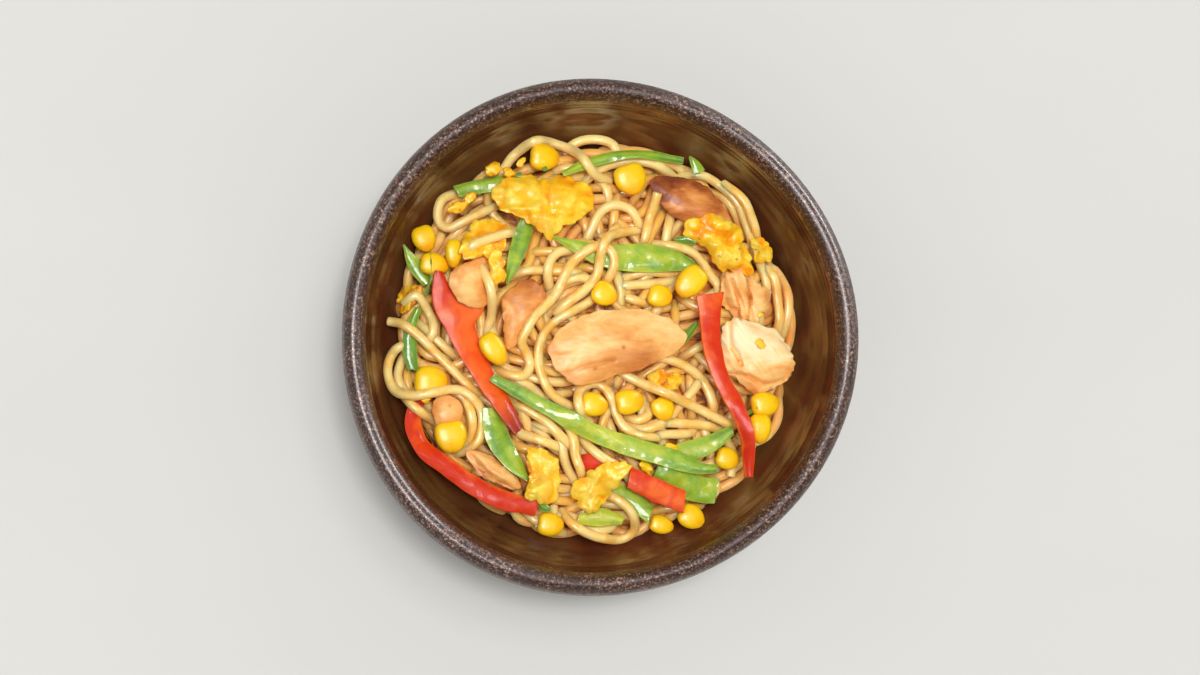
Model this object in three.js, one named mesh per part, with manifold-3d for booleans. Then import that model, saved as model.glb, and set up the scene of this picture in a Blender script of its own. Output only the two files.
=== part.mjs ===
// A hand-thrown bowl of yakisoba: fried noodles in a heap, with chicken, egg, corn, pepper and pea pods.
// Millimetres, +Z up. The origin is the middle of the bowl's foot, on the table.
import * as THREE from "three";
import { mergeVertices } from "three/addons/utils/BufferGeometryUtils.js";
import Module from "manifold-3d";

const wasm = await Module();
wasm.setup();

// ---------------------------------------------------------------- driving dimensions

const GAP = 0.3; // air between pieces that touch
const LIFT = 0.15; // a piece that would cut into its neighbours is raised in steps of this height

const BOWL = {
  height: 66,
  footRadius: 35,
  footWidth: 4.5,
  footBevel: 0.8,
  footHeight: 5,
  footRecess: 3,
  floor: 9, // height of the inside over the table, in the middle
  bellyRadius: 77.5, // the widest ring, just under the lip
  mouthRadius: 70.4, // the narrowest ring, at the lip
  lipHeight: 8,
  insideSteps: 7, // straight stretches from the lip down to the middle
  sides: 46,
  sway: 0.009, // how far the hand-thrown wall strays from round, as a share of its radius
  swayLobes: 3,
  swayTurn: THREE.MathUtils.degToRad(-4),
};

const MOUND = {
  crown: 46.3, // top of the heap over the origin
  fall: 8, // how much lower the heap is at its shoulder
  shoulder: 58, // radius where it turns down to the wall
  edge: 60, // radius where it meets the wall
  steepness: 2.2, // 1 would be a cone, and more is flatter on top
  bump: 0.7,
  bumpSize: 9,
  spokes: 30,
  rings: 7,
};

const NOODLE = {
  radius: 1.55,
  sides: 5,
  step: 4, // length of one straight stretch
  air: 0.15, // between a strand and the heap
  berth: 1, // between a strand and the topping or wall that it passes
  highest: 57.5, // no strand reaches above this
  dips: [3.2, 0.9], // how far its ends sink into the heap, from the end inwards
  shortest: 9,
  spots: 1200, // places between the toppings where a loose curl is tried
  tries: 9, // curls tried at each place, of which the longest is laid
  curlReach: 22, // how far a curl runs to each side of its place
  curlBend: [-0.11, 0.11], // radians a millimetre
  spread: 0.4, // least distance from a curl's place to another strand
};
const NOODLE_TRIANGLES = 5850; // no more strands are added past this

const KERNEL = {
  length: 9.5,
  width: 8.2,
  thick: 6,
  around: 7,
  up: 5,
  bluntness: 0.75, // 1 would be an egg, and less is boxier
  taper: 0.28, // how much narrower it is at its root
  dimple: 0.12, // how deep its crown is dented
  roam: 1.6, // how far it may roll to find the lowest place
};

const LUMP = {
  rings: 3,
  bumpSize: 3.5,
  lift: 0.3, // how far its edge curls up from what it lies on, as a share of its thickness
  thinnest: 0.8,
};

const MAP = { cell: 0.75, half: 76 }; // the grid of heights

// ---------------------------------------------------------------- finishes

const FINISHES = {
  glaze: { color: 0x54361c, roughness: 0.25, metalness: 0.1 },
  noodle: { color: 0xe6c184, roughness: 0.45, metalness: 0 },
  corn: { color: 0xfbc823, roughness: 0.35, metalness: 0 },
  egg: { color: 0xf6c243, roughness: 0.6, metalness: 0 },
  chicken: { color: 0xf0bd80, roughness: 0.5, metalness: 0 },
  pepper: { color: 0xe8562a, roughness: 0.3, metalness: 0 },
  pod: { color: 0x8fb33b, roughness: 0.35, metalness: 0 },
};

function finish(kind) {
  return new THREE.MeshStandardMaterial(FINISHES[kind]);
}

// ---------------------------------------------------------------- solids

// A geometry as a manifold solid: vertices merged, collapsed triangles dropped.
function solidOf(geometry) {
  const bare = new THREE.BufferGeometry();
  bare.setAttribute("position", geometry.getAttribute("position"));
  bare.setIndex(geometry.getIndex());
  const merged = mergeVertices(bare, 1e-3);
  const corners = merged.getIndex().array;
  const triVerts = [];
  for (let i = 0; i < corners.length; i += 3) {
    const [a, b, c] = corners.subarray(i, i + 3);
    if (a !== b && b !== c && c !== a) triVerts.push(a, b, c);
  }
  const vertProperties = merged.getAttribute("position").array;
  const mesh = new wasm.Mesh({ numProp: 3, vertProperties, triVerts: new Uint32Array(triVerts) });
  return new wasm.Manifold(mesh);
}

function meshOf(name, solid, kind) {
  const { vertProperties, triVerts } = solid.getMesh();
  const geometry = new THREE.BufferGeometry();
  geometry.setAttribute("position", new THREE.BufferAttribute(vertProperties, 3));
  geometry.setIndex(new THREE.BufferAttribute(triVerts, 1));
  geometry.computeVertexNormals();
  const mesh = new THREE.Mesh(geometry, finish(kind));
  mesh.name = name;
  return mesh;
}

// Raises a piece until it is clear of its neighbours.
function lifted(solid, others) {
  const shares = (other) => solid.intersect(other).volume() > 0;
  while (others.some(shares)) solid = solid.translate([0, 0, LIFT]);
  return solid;
}

// The largest body of a solid: loose scraps go, and sealed pockets are filled.
function wholeBody(solid) {
  return solid.decompose().reduce((best, body) => (body.volume() > best.volume() ? body : best));
}

// A flat sheet as a solid: one face at top(i), one at bottom(i), and a wall along the sheet's border.
// Both faces are split into triangles alike.
function thicken(sheet, top, bottom) {
  const corners = sheet.getIndex().array;
  const count = sheet.getAttribute("position").count;
  const points = [];
  for (const side of [top, bottom]) {
    for (let i = 0; i < count; i++) points.push(...side(i));
  }
  const index = [];
  const open = new Map();
  for (let i = 0; i < corners.length; i += 3) {
    const [a, b, c] = corners.subarray(i, i + 3);
    index.push(a, b, c, c + count, b + count, a + count);
    for (const [from, to] of [[a, b], [b, c], [c, a]]) {
      if (!open.delete(to + "," + from)) open.set(from + "," + to, [from, to]);
    }
  }
  for (const [from, to] of open.values()) {
    index.push(to, from, from + count, to, from + count, to + count);
  }
  const geometry = new THREE.BufferGeometry();
  geometry.setAttribute("position", new THREE.Float32BufferAttribute(points, 3));
  geometry.setIndex(index);
  return solidOf(geometry);
}

// A plane geometry with its doubled vertices and collapsed triangles gone.
function sheetOf(geometry) {
  geometry.deleteAttribute("normal");
  geometry.deleteAttribute("uv");
  const sheet = mergeVertices(geometry, 1e-5);
  const corners = sheet.getIndex().array;
  const kept = [];
  for (let i = 0; i < corners.length; i += 3) {
    const [a, b, c] = corners.subarray(i, i + 3);
    if (a !== b && b !== c && c !== a) kept.push(a, b, c);
  }
  sheet.setIndex(new THREE.BufferAttribute(new Uint32Array(kept), 1));
  return sheet;
}

// Soft bumps about one unit high, the same on every run.
function ripple(x, y, size, seed = 0) {
  const u = x / size;
  const v = y / size;
  const first = Math.sin(2.1 * u + 1.3 * v + seed) * Math.cos(1.7 * v - 0.6 * u + 2 * seed);
  const second = Math.sin(3.7 * u - 2.9 * v + 3 * seed) * 0.5;
  return (first + second) / 1.5;
}

// ---------------------------------------------------------------- what lies where: a map of heights

// The highest point of everything laid so far, on a square grid.
class HeightMap {
  constructor() {
    this.side = Math.ceil((2 * MAP.half) / MAP.cell);
    this.heights = new Float32Array(this.side * this.side).fill(-1);
  }

  column(x) {
    return Math.round((x + MAP.half) / MAP.cell);
  }

  // Lays a solid on the map.
  add(solid) {
    const { vertProperties, triVerts } = solid.getMesh();
    const corner = (i) => vertProperties.subarray(3 * triVerts[i], 3 * triVerts[i] + 3);
    for (let i = 0; i < triVerts.length; i += 3) this.addTriangle(corner(i), corner(i + 1), corner(i + 2));
  }

  addTriangle(a, b, c) {
    const area = (b[0] - a[0]) * (c[1] - a[1]) - (c[0] - a[0]) * (b[1] - a[1]);
    if (area <= 1e-6) return;
    const spare = 0.5 * MAP.cell;
    const firstColumn = this.column(Math.min(a[0], b[0], c[0]) - spare);
    const lastColumn = this.column(Math.max(a[0], b[0], c[0]) + spare);
    const firstRow = this.column(Math.min(a[1], b[1], c[1]) - spare);
    const lastRow = this.column(Math.max(a[1], b[1], c[1]) + spare);
    for (let row = firstRow; row <= lastRow; row++) {
      for (let column = firstColumn; column <= lastColumn; column++) {
        const x = column * MAP.cell - MAP.half;
        const y = row * MAP.cell - MAP.half;
        const wb = ((x - a[0]) * (c[1] - a[1]) - (c[0] - a[0]) * (y - a[1])) / area;
        const wc = ((b[0] - a[0]) * (y - a[1]) - (x - a[0]) * (b[1] - a[1])) / area;
        const slack = 1e-3;
        if (wb < -slack || wc < -slack || wb + wc > 1 + slack) continue;
        const z = a[2] + wb * (b[2] - a[2]) + wc * (c[2] - a[2]);
        const cell = row * this.side + column;
        this.heights[cell] = Math.max(this.heights[cell], z);
      }
    }
  }

  // The height of the middle of a ball that lies on the map at a place.
  ballOver(x, y, radius) {
    const cells = Math.ceil(radius / MAP.cell);
    const column = this.column(x);
    const row = this.column(y);
    let highest = -1;
    for (let i = -cells; i <= cells; i++) {
      for (let j = -cells; j <= cells; j++) {
        const away = Math.hypot(i, j) * MAP.cell;
        if (away > radius) continue;
        const height = this.heights[(row + j) * this.side + column + i];
        highest = Math.max(highest, height + Math.sqrt(radius ** 2 - away ** 2));
      }
    }
    return highest;
  }

  // The highest point within reach of a place.
  over(x, y, reach) {
    const cells = Math.ceil(reach / MAP.cell);
    const column = this.column(x);
    const row = this.column(y);
    let highest = -1;
    for (let i = -cells; i <= cells; i++) {
      for (let j = -cells; j <= cells; j++) {
        if (Math.hypot(i, j) * MAP.cell > reach + 0.5 * MAP.cell) continue;
        highest = Math.max(highest, this.heights[(row + j) * this.side + column + i]);
      }
    }
    return highest;
  }
}

// How a limp sheet lies on the map: no point is lower than the map plus its own sag, and each point is
// pulled up to the mean of its neighbours, so a stiffer sheet spans more.
function lie(sheet, map, place, sag, stiffness) {
  const corners = sheet.getIndex().array;
  const count = sheet.getAttribute("position").count;
  const spots = Array.from({ length: count }, (_, i) => place(i));
  const neighbours = spots.map(() => new Set());
  for (let i = 0; i < corners.length; i += 3) {
    const [a, b, c] = corners.subarray(i, i + 3);
    neighbours[a].add(b).add(c);
    neighbours[b].add(a).add(c);
    neighbours[c].add(a).add(b);
  }
  const least = spots.map(([x, y], i) => {
    const spans = [...neighbours[i]].map((j) => Math.hypot(spots[j][0] - x, spots[j][1] - y));
    const reach = 0.55 * (spans.reduce((sum, span) => sum + span, 0) / spans.length);
    return map.over(x, y, reach) + GAP + sag(i);
  });
  let heights = [...least];
  for (let round = 0; round < stiffness; round++) {
    heights = heights.map((_, i) => {
      const around = [...neighbours[i]].map((j) => heights[j]);
      const mean = around.reduce((sum, z) => sum + z, 0) / around.length;
      return Math.max(least[i], mean);
    });
  }
  return { spots, heights };
}

// ---------------------------------------------------------------- bowl

// Moves a point of a true circle onto the bowl's hand-thrown outline. The box round the outline stays
// centred on the origin.
function handThrown(x, y) {
  const swell = (angle) => BOWL.sway * Math.cos(BOWL.swayLobes * (angle - BOWL.swayTurn));
  const radius = Math.hypot(x, y);
  const stretch = 1 + swell(Math.atan2(y, x));
  return [x * stretch - radius * swell(0), y * stretch - radius * swell(Math.PI / 2)];
}

// Bends a round geometry to the bowl's hand-thrown outline.
function swayed(geometry) {
  const position = geometry.getAttribute("position");
  for (let i = 0; i < position.count; i++) {
    position.setXY(i, ...handThrown(position.getX(i), position.getY(i)));
  }
  return geometry;
}

// The inside of the wall from the lip down to the middle of the floor, as radius and height.
function insideCurve() {
  return new THREE.SplineCurve([
    new THREE.Vector2(BOWL.mouthRadius, BOWL.height - BOWL.lipHeight),
    new THREE.Vector2(BOWL.mouthRadius - 0.6, 50),
    new THREE.Vector2(68, 43.5),
    new THREE.Vector2(62.5, 33),
    new THREE.Vector2(53, 23),
    new THREE.Vector2(38, 14),
    new THREE.Vector2(20, 9.8),
    new THREE.Vector2(0, BOWL.floor),
  ]);
}

function makeBowl() {
  const outside = new THREE.SplineCurve([
    new THREE.Vector2(BOWL.footRadius + 1, BOWL.footHeight),
    new THREE.Vector2(50, 12),
    new THREE.Vector2(62, 23),
    new THREE.Vector2(71, 36),
    new THREE.Vector2(76, 48),
    new THREE.Vector2(BOWL.bellyRadius, BOWL.height - BOWL.lipHeight),
  ]);
  const lipWidth = BOWL.bellyRadius - BOWL.mouthRadius;
  const lipMiddle = BOWL.mouthRadius + lipWidth / 2;
  const lip = new THREE.EllipseCurve(
    lipMiddle, BOWL.height - BOWL.lipHeight, lipWidth / 2, BOWL.lipHeight, 0, Math.PI,
  );
  const profile = [
    new THREE.Vector2(0, BOWL.footRecess),
    new THREE.Vector2(BOWL.footRadius - BOWL.footWidth, BOWL.footRecess),
    new THREE.Vector2(BOWL.footRadius - BOWL.footWidth + BOWL.footBevel, 0),
    new THREE.Vector2(BOWL.footRadius, 0),
    ...outside.getPoints(5),
    ...lip.getPoints(6).slice(1, -1),
    ...insideCurve().getPoints(BOWL.insideSteps),
  ];
  return solidOf(swayed(new THREE.LatheGeometry(profile, BOWL.sides).rotateX(Math.PI / 2)));
}

// ---------------------------------------------------------------- heap of noodles: the core

function moundTop(x, y) {
  const out = Math.hypot(x, y) / MOUND.shoulder;
  const bumps = MOUND.bump * ripple(x, y, MOUND.bumpSize);
  return MOUND.crown - MOUND.fall * Math.pow(Math.min(out, 1), MOUND.steepness) + bumps;
}

// The height of the bowl's inside at a radius.
function wallHeight(radius) {
  const points = insideCurve().getPoints(BOWL.insideSteps);
  const inner = points.findIndex((point) => point.x <= radius);
  const [high, low] = [points[inner - 1], points[inner]];
  return low.y + ((radius - low.x) / (high.x - low.x)) * (high.y - low.y);
}

// The bare core: it fills the bowl up to the shoulder, and its top is the heap without its loose strands.
function makeCore() {
  const sheet = sheetOf(new THREE.RingGeometry(0, 1, MOUND.spokes, MOUND.rings));
  const position = sheet.getAttribute("position");
  const shoulderShare = (MOUND.rings - 1) / MOUND.rings;
  const polar = (i) => {
    const share = Math.hypot(position.getX(i), position.getY(i));
    return { share, angle: Math.atan2(position.getY(i), position.getX(i)) };
  };
  const at = (radius, angle, height) => {
    const [x, y] = handThrown(radius * Math.cos(angle), radius * Math.sin(angle));
    return [x, y, height(x, y)];
  };
  const underside = (radius) => wallHeight(radius + 2 * GAP) + GAP;
  const top = (i) => {
    const { share, angle } = polar(i);
    const edge = share > shoulderShare + 0.01;
    if (edge) return at(MOUND.edge, angle, () => underside(MOUND.edge) + 1);
    return at((share / shoulderShare) * MOUND.shoulder, angle, moundTop);
  };
  const bottom = (i) => {
    const { share, angle } = polar(i);
    return at(share * MOUND.edge, angle, () => underside(share * MOUND.edge));
  };
  return thicken(sheet, top, bottom);
}

// ---------------------------------------------------------------- toppings

// A kernel of corn: a blunt tooth, broad and dimpled at the crown, narrow at the root.
function makeKernel({ turn = 0, tip = 0, size = 1, slim = 1 }) {
  const geometry = new THREE.SphereGeometry(1, KERNEL.around, KERNEL.up);
  const position = geometry.getAttribute("position");
  const point = new THREE.Vector3();
  for (let i = 0; i < position.count; i++) {
    point.fromBufferAttribute(position, i);
    const blunt = (value) => Math.sign(value) * Math.pow(Math.abs(value), KERNEL.bluntness);
    const taper = 1 - KERNEL.taper * Math.max(0, -point.y);
    const dimple = 1 - KERNEL.dimple * Math.max(0, point.y) * (1 - Math.abs(point.x));
    position.setXYZ(
      i,
      blunt(point.x) * taper * (KERNEL.width / 2) * slim * size,
      blunt(point.y) * dimple * (KERNEL.length / 2) * size,
      blunt(point.z) * taper * (KERNEL.thick / 2) * size,
    );
  }
  geometry.rotateX(THREE.MathUtils.degToRad(tip));
  geometry.rotateZ(THREE.MathUtils.degToRad(turn));
  return geometry;
}

// Lets a kernel roll a little to the lowest place near its spot, and sets it down there.
function layKernel(kernel, map) {
  const geometry = makeKernel(kernel);
  const position = geometry.getAttribute("position");
  const restAt = (x, y) => {
    let rest = -Infinity;
    for (let i = 0; i < position.count; i++) {
      const ground = map.over(x + position.getX(i), y + position.getY(i), 0.5);
      rest = Math.max(rest, ground + GAP - position.getZ(i));
    }
    return rest;
  };
  const [x, y] = kernel.at;
  let best = { x, y, rest: restAt(x, y) };
  for (let step = 0; step < 16; step++) {
    const angle = (step * Math.PI) / 4;
    const way = step < 8 ? KERNEL.roam : KERNEL.roam / 2;
    const near = { x: x + way * Math.cos(angle), y: y + way * Math.sin(angle) };
    near.rest = restAt(near.x, near.y);
    if (near.rest < best.rest - 0.3) best = near;
  }
  return solidOf(geometry.translate(best.x, best.y, best.rest));
}

// A soft piece with an uneven outline, such as a slice of chicken or a curd of egg. Its reach is the
// distance from its middle to its edge at even angles, anticlockwise from its turn.
function layLump(lump, map) {
  const { at, turn = 0, reach, thick, bump, edge, stiff, seed = 0, rings = LUMP.rings } = lump;
  const outline = new THREE.CatmullRomCurve3(
    reach.map((radius, k) => {
      const angle = THREE.MathUtils.degToRad(turn) + (k * 2 * Math.PI) / reach.length;
      return new THREE.Vector3(radius * Math.cos(angle), radius * Math.sin(angle), 0);
    }),
    true,
  );
  const sheet = sheetOf(new THREE.RingGeometry(0, 1, 2 * reach.length, rings));
  const position = sheet.getAttribute("position");
  const share = (i) => Math.hypot(position.getX(i), position.getY(i));
  const place = (i) => {
    const around = Math.atan2(position.getY(i), position.getX(i)) / (2 * Math.PI);
    const rim = outline.getPoint((around + 1) % 1);
    return [at[0] + rim.x * share(i), at[1] + rim.y * share(i)];
  };
  const { spots, heights } = lie(sheet, map, place, () => 0, stiff);
  const depth = (i) => {
    const swell = 1 - (1 - edge) * Math.pow(share(i), 3);
    return thick * swell + bump * ripple(...spots[i], LUMP.bumpSize, seed) * (1 - 0.5 * share(i));
  };
  const under = (i) => LUMP.lift * thick * Math.pow(share(i), 4);
  const top = (i) => [...spots[i], heights[i] + Math.max(depth(i), under(i) + LUMP.thinnest)];
  const bottom = (i) => [...spots[i], heights[i] + under(i)];
  return thicken(sheet, top, bottom);
}

// A strip such as a slice of pepper or pod, along a route, with its widths at start, middle and end.
function layStrip(strip, map) {
  const { route, widths, thick, crown = 0.8, stiff = 10, stretch = 5 } = strip;
  const path = new THREE.CatmullRomCurve3(route.map(([x, y]) => new THREE.Vector3(x, y, 0)));
  const along = Math.max(4, Math.round(path.getLength() / stretch));
  const sheet = sheetOf(new THREE.PlaneGeometry(2, 2, along, 2));
  const position = sheet.getAttribute("position");
  const where = (i) => ({ u: (position.getX(i) + 1) / 2, v: position.getY(i) });
  const width = new THREE.CatmullRomCurve3(widths.map((value) => new THREE.Vector3(value, 0, 0)));
  const place = (i) => {
    const { u, v } = where(i);
    const middle = path.getPointAt(u);
    const way = path.getTangentAt(u);
    const half = (width.getPoint(u).x / 2) * v;
    return [middle.x - way.y * half, middle.y + way.x * half];
  };
  const rise = (i) => crown * (1 - where(i).v ** 2);
  const { spots, heights } = lie(sheet, map, place, (i) => -rise(i), stiff);
  const top = (i) => [...spots[i], heights[i] + rise(i) + thick];
  const bottom = (i) => [...spots[i], heights[i] + rise(i)];
  return thicken(sheet, top, bottom);
}

const CHICKEN = { lay: layLump, kind: "chicken", bump: 0.35, edge: 0.55, stiff: 40 };
const EGG = { lay: layLump, kind: "egg", bump: 1.1, edge: 0.4, stiff: 6 };
const PEPPER = { lay: layStrip, kind: "pepper", thick: 2.6, crown: 1.1 };
const POD = { lay: layStrip, kind: "pod", thick: 1.3, crown: 0.9 };
const CORN = { lay: layKernel, kind: "corn" };

// The toppings from the lowest to the highest: each is laid on the core and on those before it.
const TOPPINGS = [
  { ...POD, name: "pod_sliver_center", route: [[30, 5], [26, 0], [22.5, -4]], widths: [1.6, 3, 2] },
  { ...POD, name: "pod_piece_front", route: [[-6, -54.5], [1, -54], [8, -55]], widths: [3, 6.5, 3] },
  {
    ...PEPPER,
    name: "pepper_bit_front",
    route: [[-6, -37], [1, -37.5], [8, -39]],
    widths: [4, 6, 3],
    thick: 2,
  },
  {
    ...PEPPER,
    name: "pepper_arc_left",
    route: [[-54, -17], [-56, -25], [-53, -33], [-46, -38.5], [-37.5, -44.5], [-28, -49], [-18, -51]],
    widths: [4, 6.5, 5.2],
  },
  {
    ...CHICKEN,
    name: "chicken_strip_front",
    at: [-31, -40],
    turn: -35,
    reach: [11, 4, 3, 4, 10.5, 5.5, 3.5, 4],
    thick: 4.5,
  },
  {
    ...CHICKEN,
    name: "chicken_cube_left",
    at: [-45.5, -22.5],
    reach: [4.5, 5, 5.5, 5.5, 4.5, 5, 5.5, 5.5],
    rings: 2,
    thick: 5,
  },
  {
    ...POD,
    name: "pod_strip_front_left",
    route: [[-33, -21], [-31, -29], [-27, -36], [-21.5, -43]],
    widths: [4, 7, 2],
  },
  {
    ...POD,
    name: "pod_end_left",
    route: [[-54.5, 9.5], [-56.5, 3.5], [-57, -3], [-56, -9.5]],
    widths: [2, 5, 3.6],
  },
  { ...POD, name: "pod_tip_left", route: [[-59, 28.5], [-56, 23], [-51.5, 16.5]], widths: [1.4, 4.6, 3] },
  {
    ...EGG,
    name: "egg_bit_left",
    at: [-57.5, 12.5],
    turn: 20,
    reach: [5, 4.5, 3, 3, 4, 5, 3, 2.5],
    rings: 2,
    thick: 3,
    seed: 9,
  },
  { ...CORN, name: "corn_01", at: [-51.5, 29.5], turn: 20, size: 0.9 },
  { ...CORN, name: "corn_02", at: [-51.5, 22.5], turn: 80, slim: 0.85 },
  { ...CORN, name: "corn_03", at: [-45, 24.5], turn: 0, slim: 0.65 },
  { ...CORN, name: "corn_04", at: [-52, -14], turn: 90, size: 1.15 },
  { ...CORN, name: "corn_05", at: [-17.5, 54.5], turn: 85, tip: 10 },
  {
    ...PEPPER,
    name: "pepper_strip_left",
    route: [[-48.5, 20], [-47.5, 12], [-43.5, 4.5], [-40, -4], [-35.5, -12.5], [-30.5, -20], [-25, -28.5]],
    widths: [3, 11.5, 4],
    crown: 1.6,
  },
  {
    ...CHICKEN,
    name: "chicken_slice_left",
    at: [-37.5, 17],
    reach: [7, 9, 8, 6, 7, 8.5, 8, 8, 8, 7],
    thick: 5.5,
    stiff: 20,
  },
  {
    ...CHICKEN,
    name: "chicken_slice_middle",
    at: [-23.5, 8],
    turn: 70,
    reach: [10.5, 8, 6.5, 6, 12.5, 6.5, 5.5, 8.5],
    thick: 5.5,
  },
  {
    ...CHICKEN,
    name: "chicken_slice_center",
    at: [4.5, -1.5],
    turn: 5,
    reach: [23.5, 13.5, 10, 13, 21, 17.5, 9.5, 12],
    thick: 6.5,
  },
  { ...CORN, name: "corn_06", at: [0.5, 12.5], turn: 60, size: 0.9 },
  { ...CORN, name: "corn_07", at: [18.5, 13], turn: 75, size: 0.85 },
  { ...CORN, name: "corn_08", at: [-32, -3.5], turn: 35, size: 1.2, slim: 0.72 },
  {
    ...POD,
    name: "pod_strip_back_left",
    route: [[-43, 45], [-36.5, 46.5], [-28, 48], [-21, 48]],
    widths: [2.5, 5, 4],
  },
  {
    ...POD,
    name: "pod_strip_middle",
    route: [[-21.5, 37], [-23.5, 30], [-25.5, 24], [-28, 16]],
    widths: [4, 5.4, 1.6],
  },
  {
    ...EGG,
    name: "egg_curd_left",
    at: [-34.5, 29.5],
    turn: 30,
    reach: [8, 7, 7, 6.5, 9.5, 6, 6.5, 7],
    thick: 4,
    seed: 1,
  },
  {
    ...EGG,
    name: "egg_fringe_left",
    at: [-31, 19.5],
    turn: 80,
    reach: [7, 5, 2.5, 2.5, 6, 3, 2.4, 3],
    rings: 2,
    thick: 2.6,
    seed: 2,
  },
  {
    ...EGG,
    name: "egg_curd_back",
    at: [-17, 41.5],
    turn: -20,
    reach: [13.5, 16, 12, 9, 8, 10, 15.5, 14.5, 7.5, 9, 12, 9.5],
    thick: 6.5,
    seed: 3,
  },
  {
    ...CHICKEN,
    name: "chicken_slice_back",
    at: [27.5, 42.5],
    turn: -28,
    reach: [16, 8, 6.5, 7.5, 13.5, 8, 6.5, 7.5],
    thick: 5.5,
  },
  { ...CORN, name: "corn_09", at: [9, 48], turn: 20, size: 1.08, slim: 1.12 },
  {
    ...POD,
    name: "pod_strip_back",
    route: [[-11, 50], [-3, 53.5], [6, 56], [15, 56.5], [26.5, 55]],
    widths: [2, 3, 2.6],
    crown: 0.3,
  },
  {
    ...POD,
    name: "pod_leaf_center",
    route: [[-14, 30.5], [-6, 27.5], [3, 25], [15, 24.5], [25, 23.5], [32.5, 20.5]],
    widths: [1.4, 9, 1.8],
    crown: 1.4,
  },
  {
    ...EGG,
    name: "egg_curd_right",
    at: [36.5, 29.5],
    turn: -42,
    reach: [14.5, 10, 8, 8, 8, 8.5, 11, 11.5, 5, 4, 5.5, 9.5],
    thick: 5.5,
    seed: 4,
  },
  {
    ...EGG,
    name: "egg_bit_right",
    at: [50, 28],
    turn: -45,
    reach: [5, 3.5, 4, 4, 4, 3, 3.5, 4],
    rings: 2,
    thick: 3.5,
    seed: 5,
  },
  {
    ...CHICKEN,
    name: "chicken_shreds_right",
    at: [45, 12.5],
    turn: -45,
    reach: [8, 8, 5.5, 8, 9, 7, 6, 8],
    thick: 4,
    bump: 0.9,
    stiff: 15,
  },
  {
    ...CHICKEN,
    name: "chicken_slice_right",
    at: [47.5, -4.5],
    turn: -50,
    reach: [12.5, 13.5, 10, 9.5, 9, 14, 11, 10.5, 9.5, 12.5],
    thick: 6,
  },
  { ...CORN, name: "corn_10", at: [51.5, -18.5], turn: 100, size: 0.95 },
  { ...CORN, name: "corn_11", at: [48.5, -25.5], turn: 0, slim: 0.85 },
  { ...CORN, name: "corn_12", at: [-45.5, -28.5], turn: 10, size: 1.08, slim: 1.12 },
  { ...CORN, name: "corn_13", at: [-1.5, -20], turn: 80, size: 0.92 },
  { ...CORN, name: "corn_14", at: [9, -19], turn: 100, size: 0.95 },
  { ...CORN, name: "corn_15", at: [19.5, -21], turn: 30, size: 0.85 },
  {
    ...EGG,
    name: "egg_bit_center",
    at: [20, -13],
    turn: -10,
    reach: [5.5, 4.5, 3.5, 4, 6, 4.5, 3.5, 4.5],
    rings: 2,
    thick: 4,
    seed: 6,
  },
  { ...CORN, name: "corn_16", at: [38, -36], turn: 70, size: 0.9 },
  {
    ...POD,
    name: "pod_half_right",
    route: [[41, -27.5], [33.5, -32], [25.5, -34.5], [18.5, -36]],
    widths: [3, 6, 4],
  },
  {
    ...PEPPER,
    name: "pepper_strip_right",
    route: [
      [33.5, 13.5], [33.5, 5], [34, -2.5], [36.5, -11.5],
      [40.5, -19.5], [44, -28.5], [45, -36], [45.2, -42],
    ],
    widths: [9, 6.2, 3.6],
  },
  { ...CORN, name: "corn_17", at: [27.5, 16], turn: -42, size: 1.3, slim: 0.85 },
  {
    ...POD,
    name: "pod_strip_glossy",
    route: [[17, -41], [24, -43.5], [31, -45.5], [36.5, -46]],
    widths: [5, 8, 6],
    crown: 1.8,
  },
  { ...CORN, name: "corn_18", at: [-15.5, -55], turn: 80 },
  { ...CORN, name: "corn_19", at: [19.5, -54.5], turn: 75, slim: 0.75, size: 0.9 },
  { ...CORN, name: "corn_20", at: [27.5, -52.5], turn: 60, size: 1.02 },
  {
    ...POD,
    name: "pod_piece_front_right",
    route: [[4, -45.5], [10.5, -48.5], [16, -53.5]],
    widths: [4, 5.5, 3.5],
  },
  {
    ...POD,
    name: "pod_strip_front",
    route: [
      [-32.5, -12], [-24.5, -16.5], [-14, -22], [-3, -28],
      [9, -32.5], [21, -36], [30, -39], [36, -39.5],
    ],
    widths: [1.6, 6, 4],
    crown: 1.2,
  },
  {
    ...PEPPER,
    name: "pepper_strip_front",
    route: [[9, -42], [17.5, -46], [26, -49.5]],
    widths: [6, 7, 6.2],
  },
  {
    ...EGG,
    name: "egg_curd_front",
    at: [-17, -42],
    turn: -60,
    reach: [8, 6, 5, 7, 8, 12, 5, 4, 8, 8],
    thick: 5,
    seed: 7,
  },
  {
    ...EGG,
    name: "egg_fold_front",
    at: [0, -45],
    turn: 35,
    reach: [12, 8, 5.5, 6, 8, 8, 9, 5, 4, 5],
    thick: 5,
    seed: 8,
  },
];

// ---------------------------------------------------------------- heap of noodles: the strands that show

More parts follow.
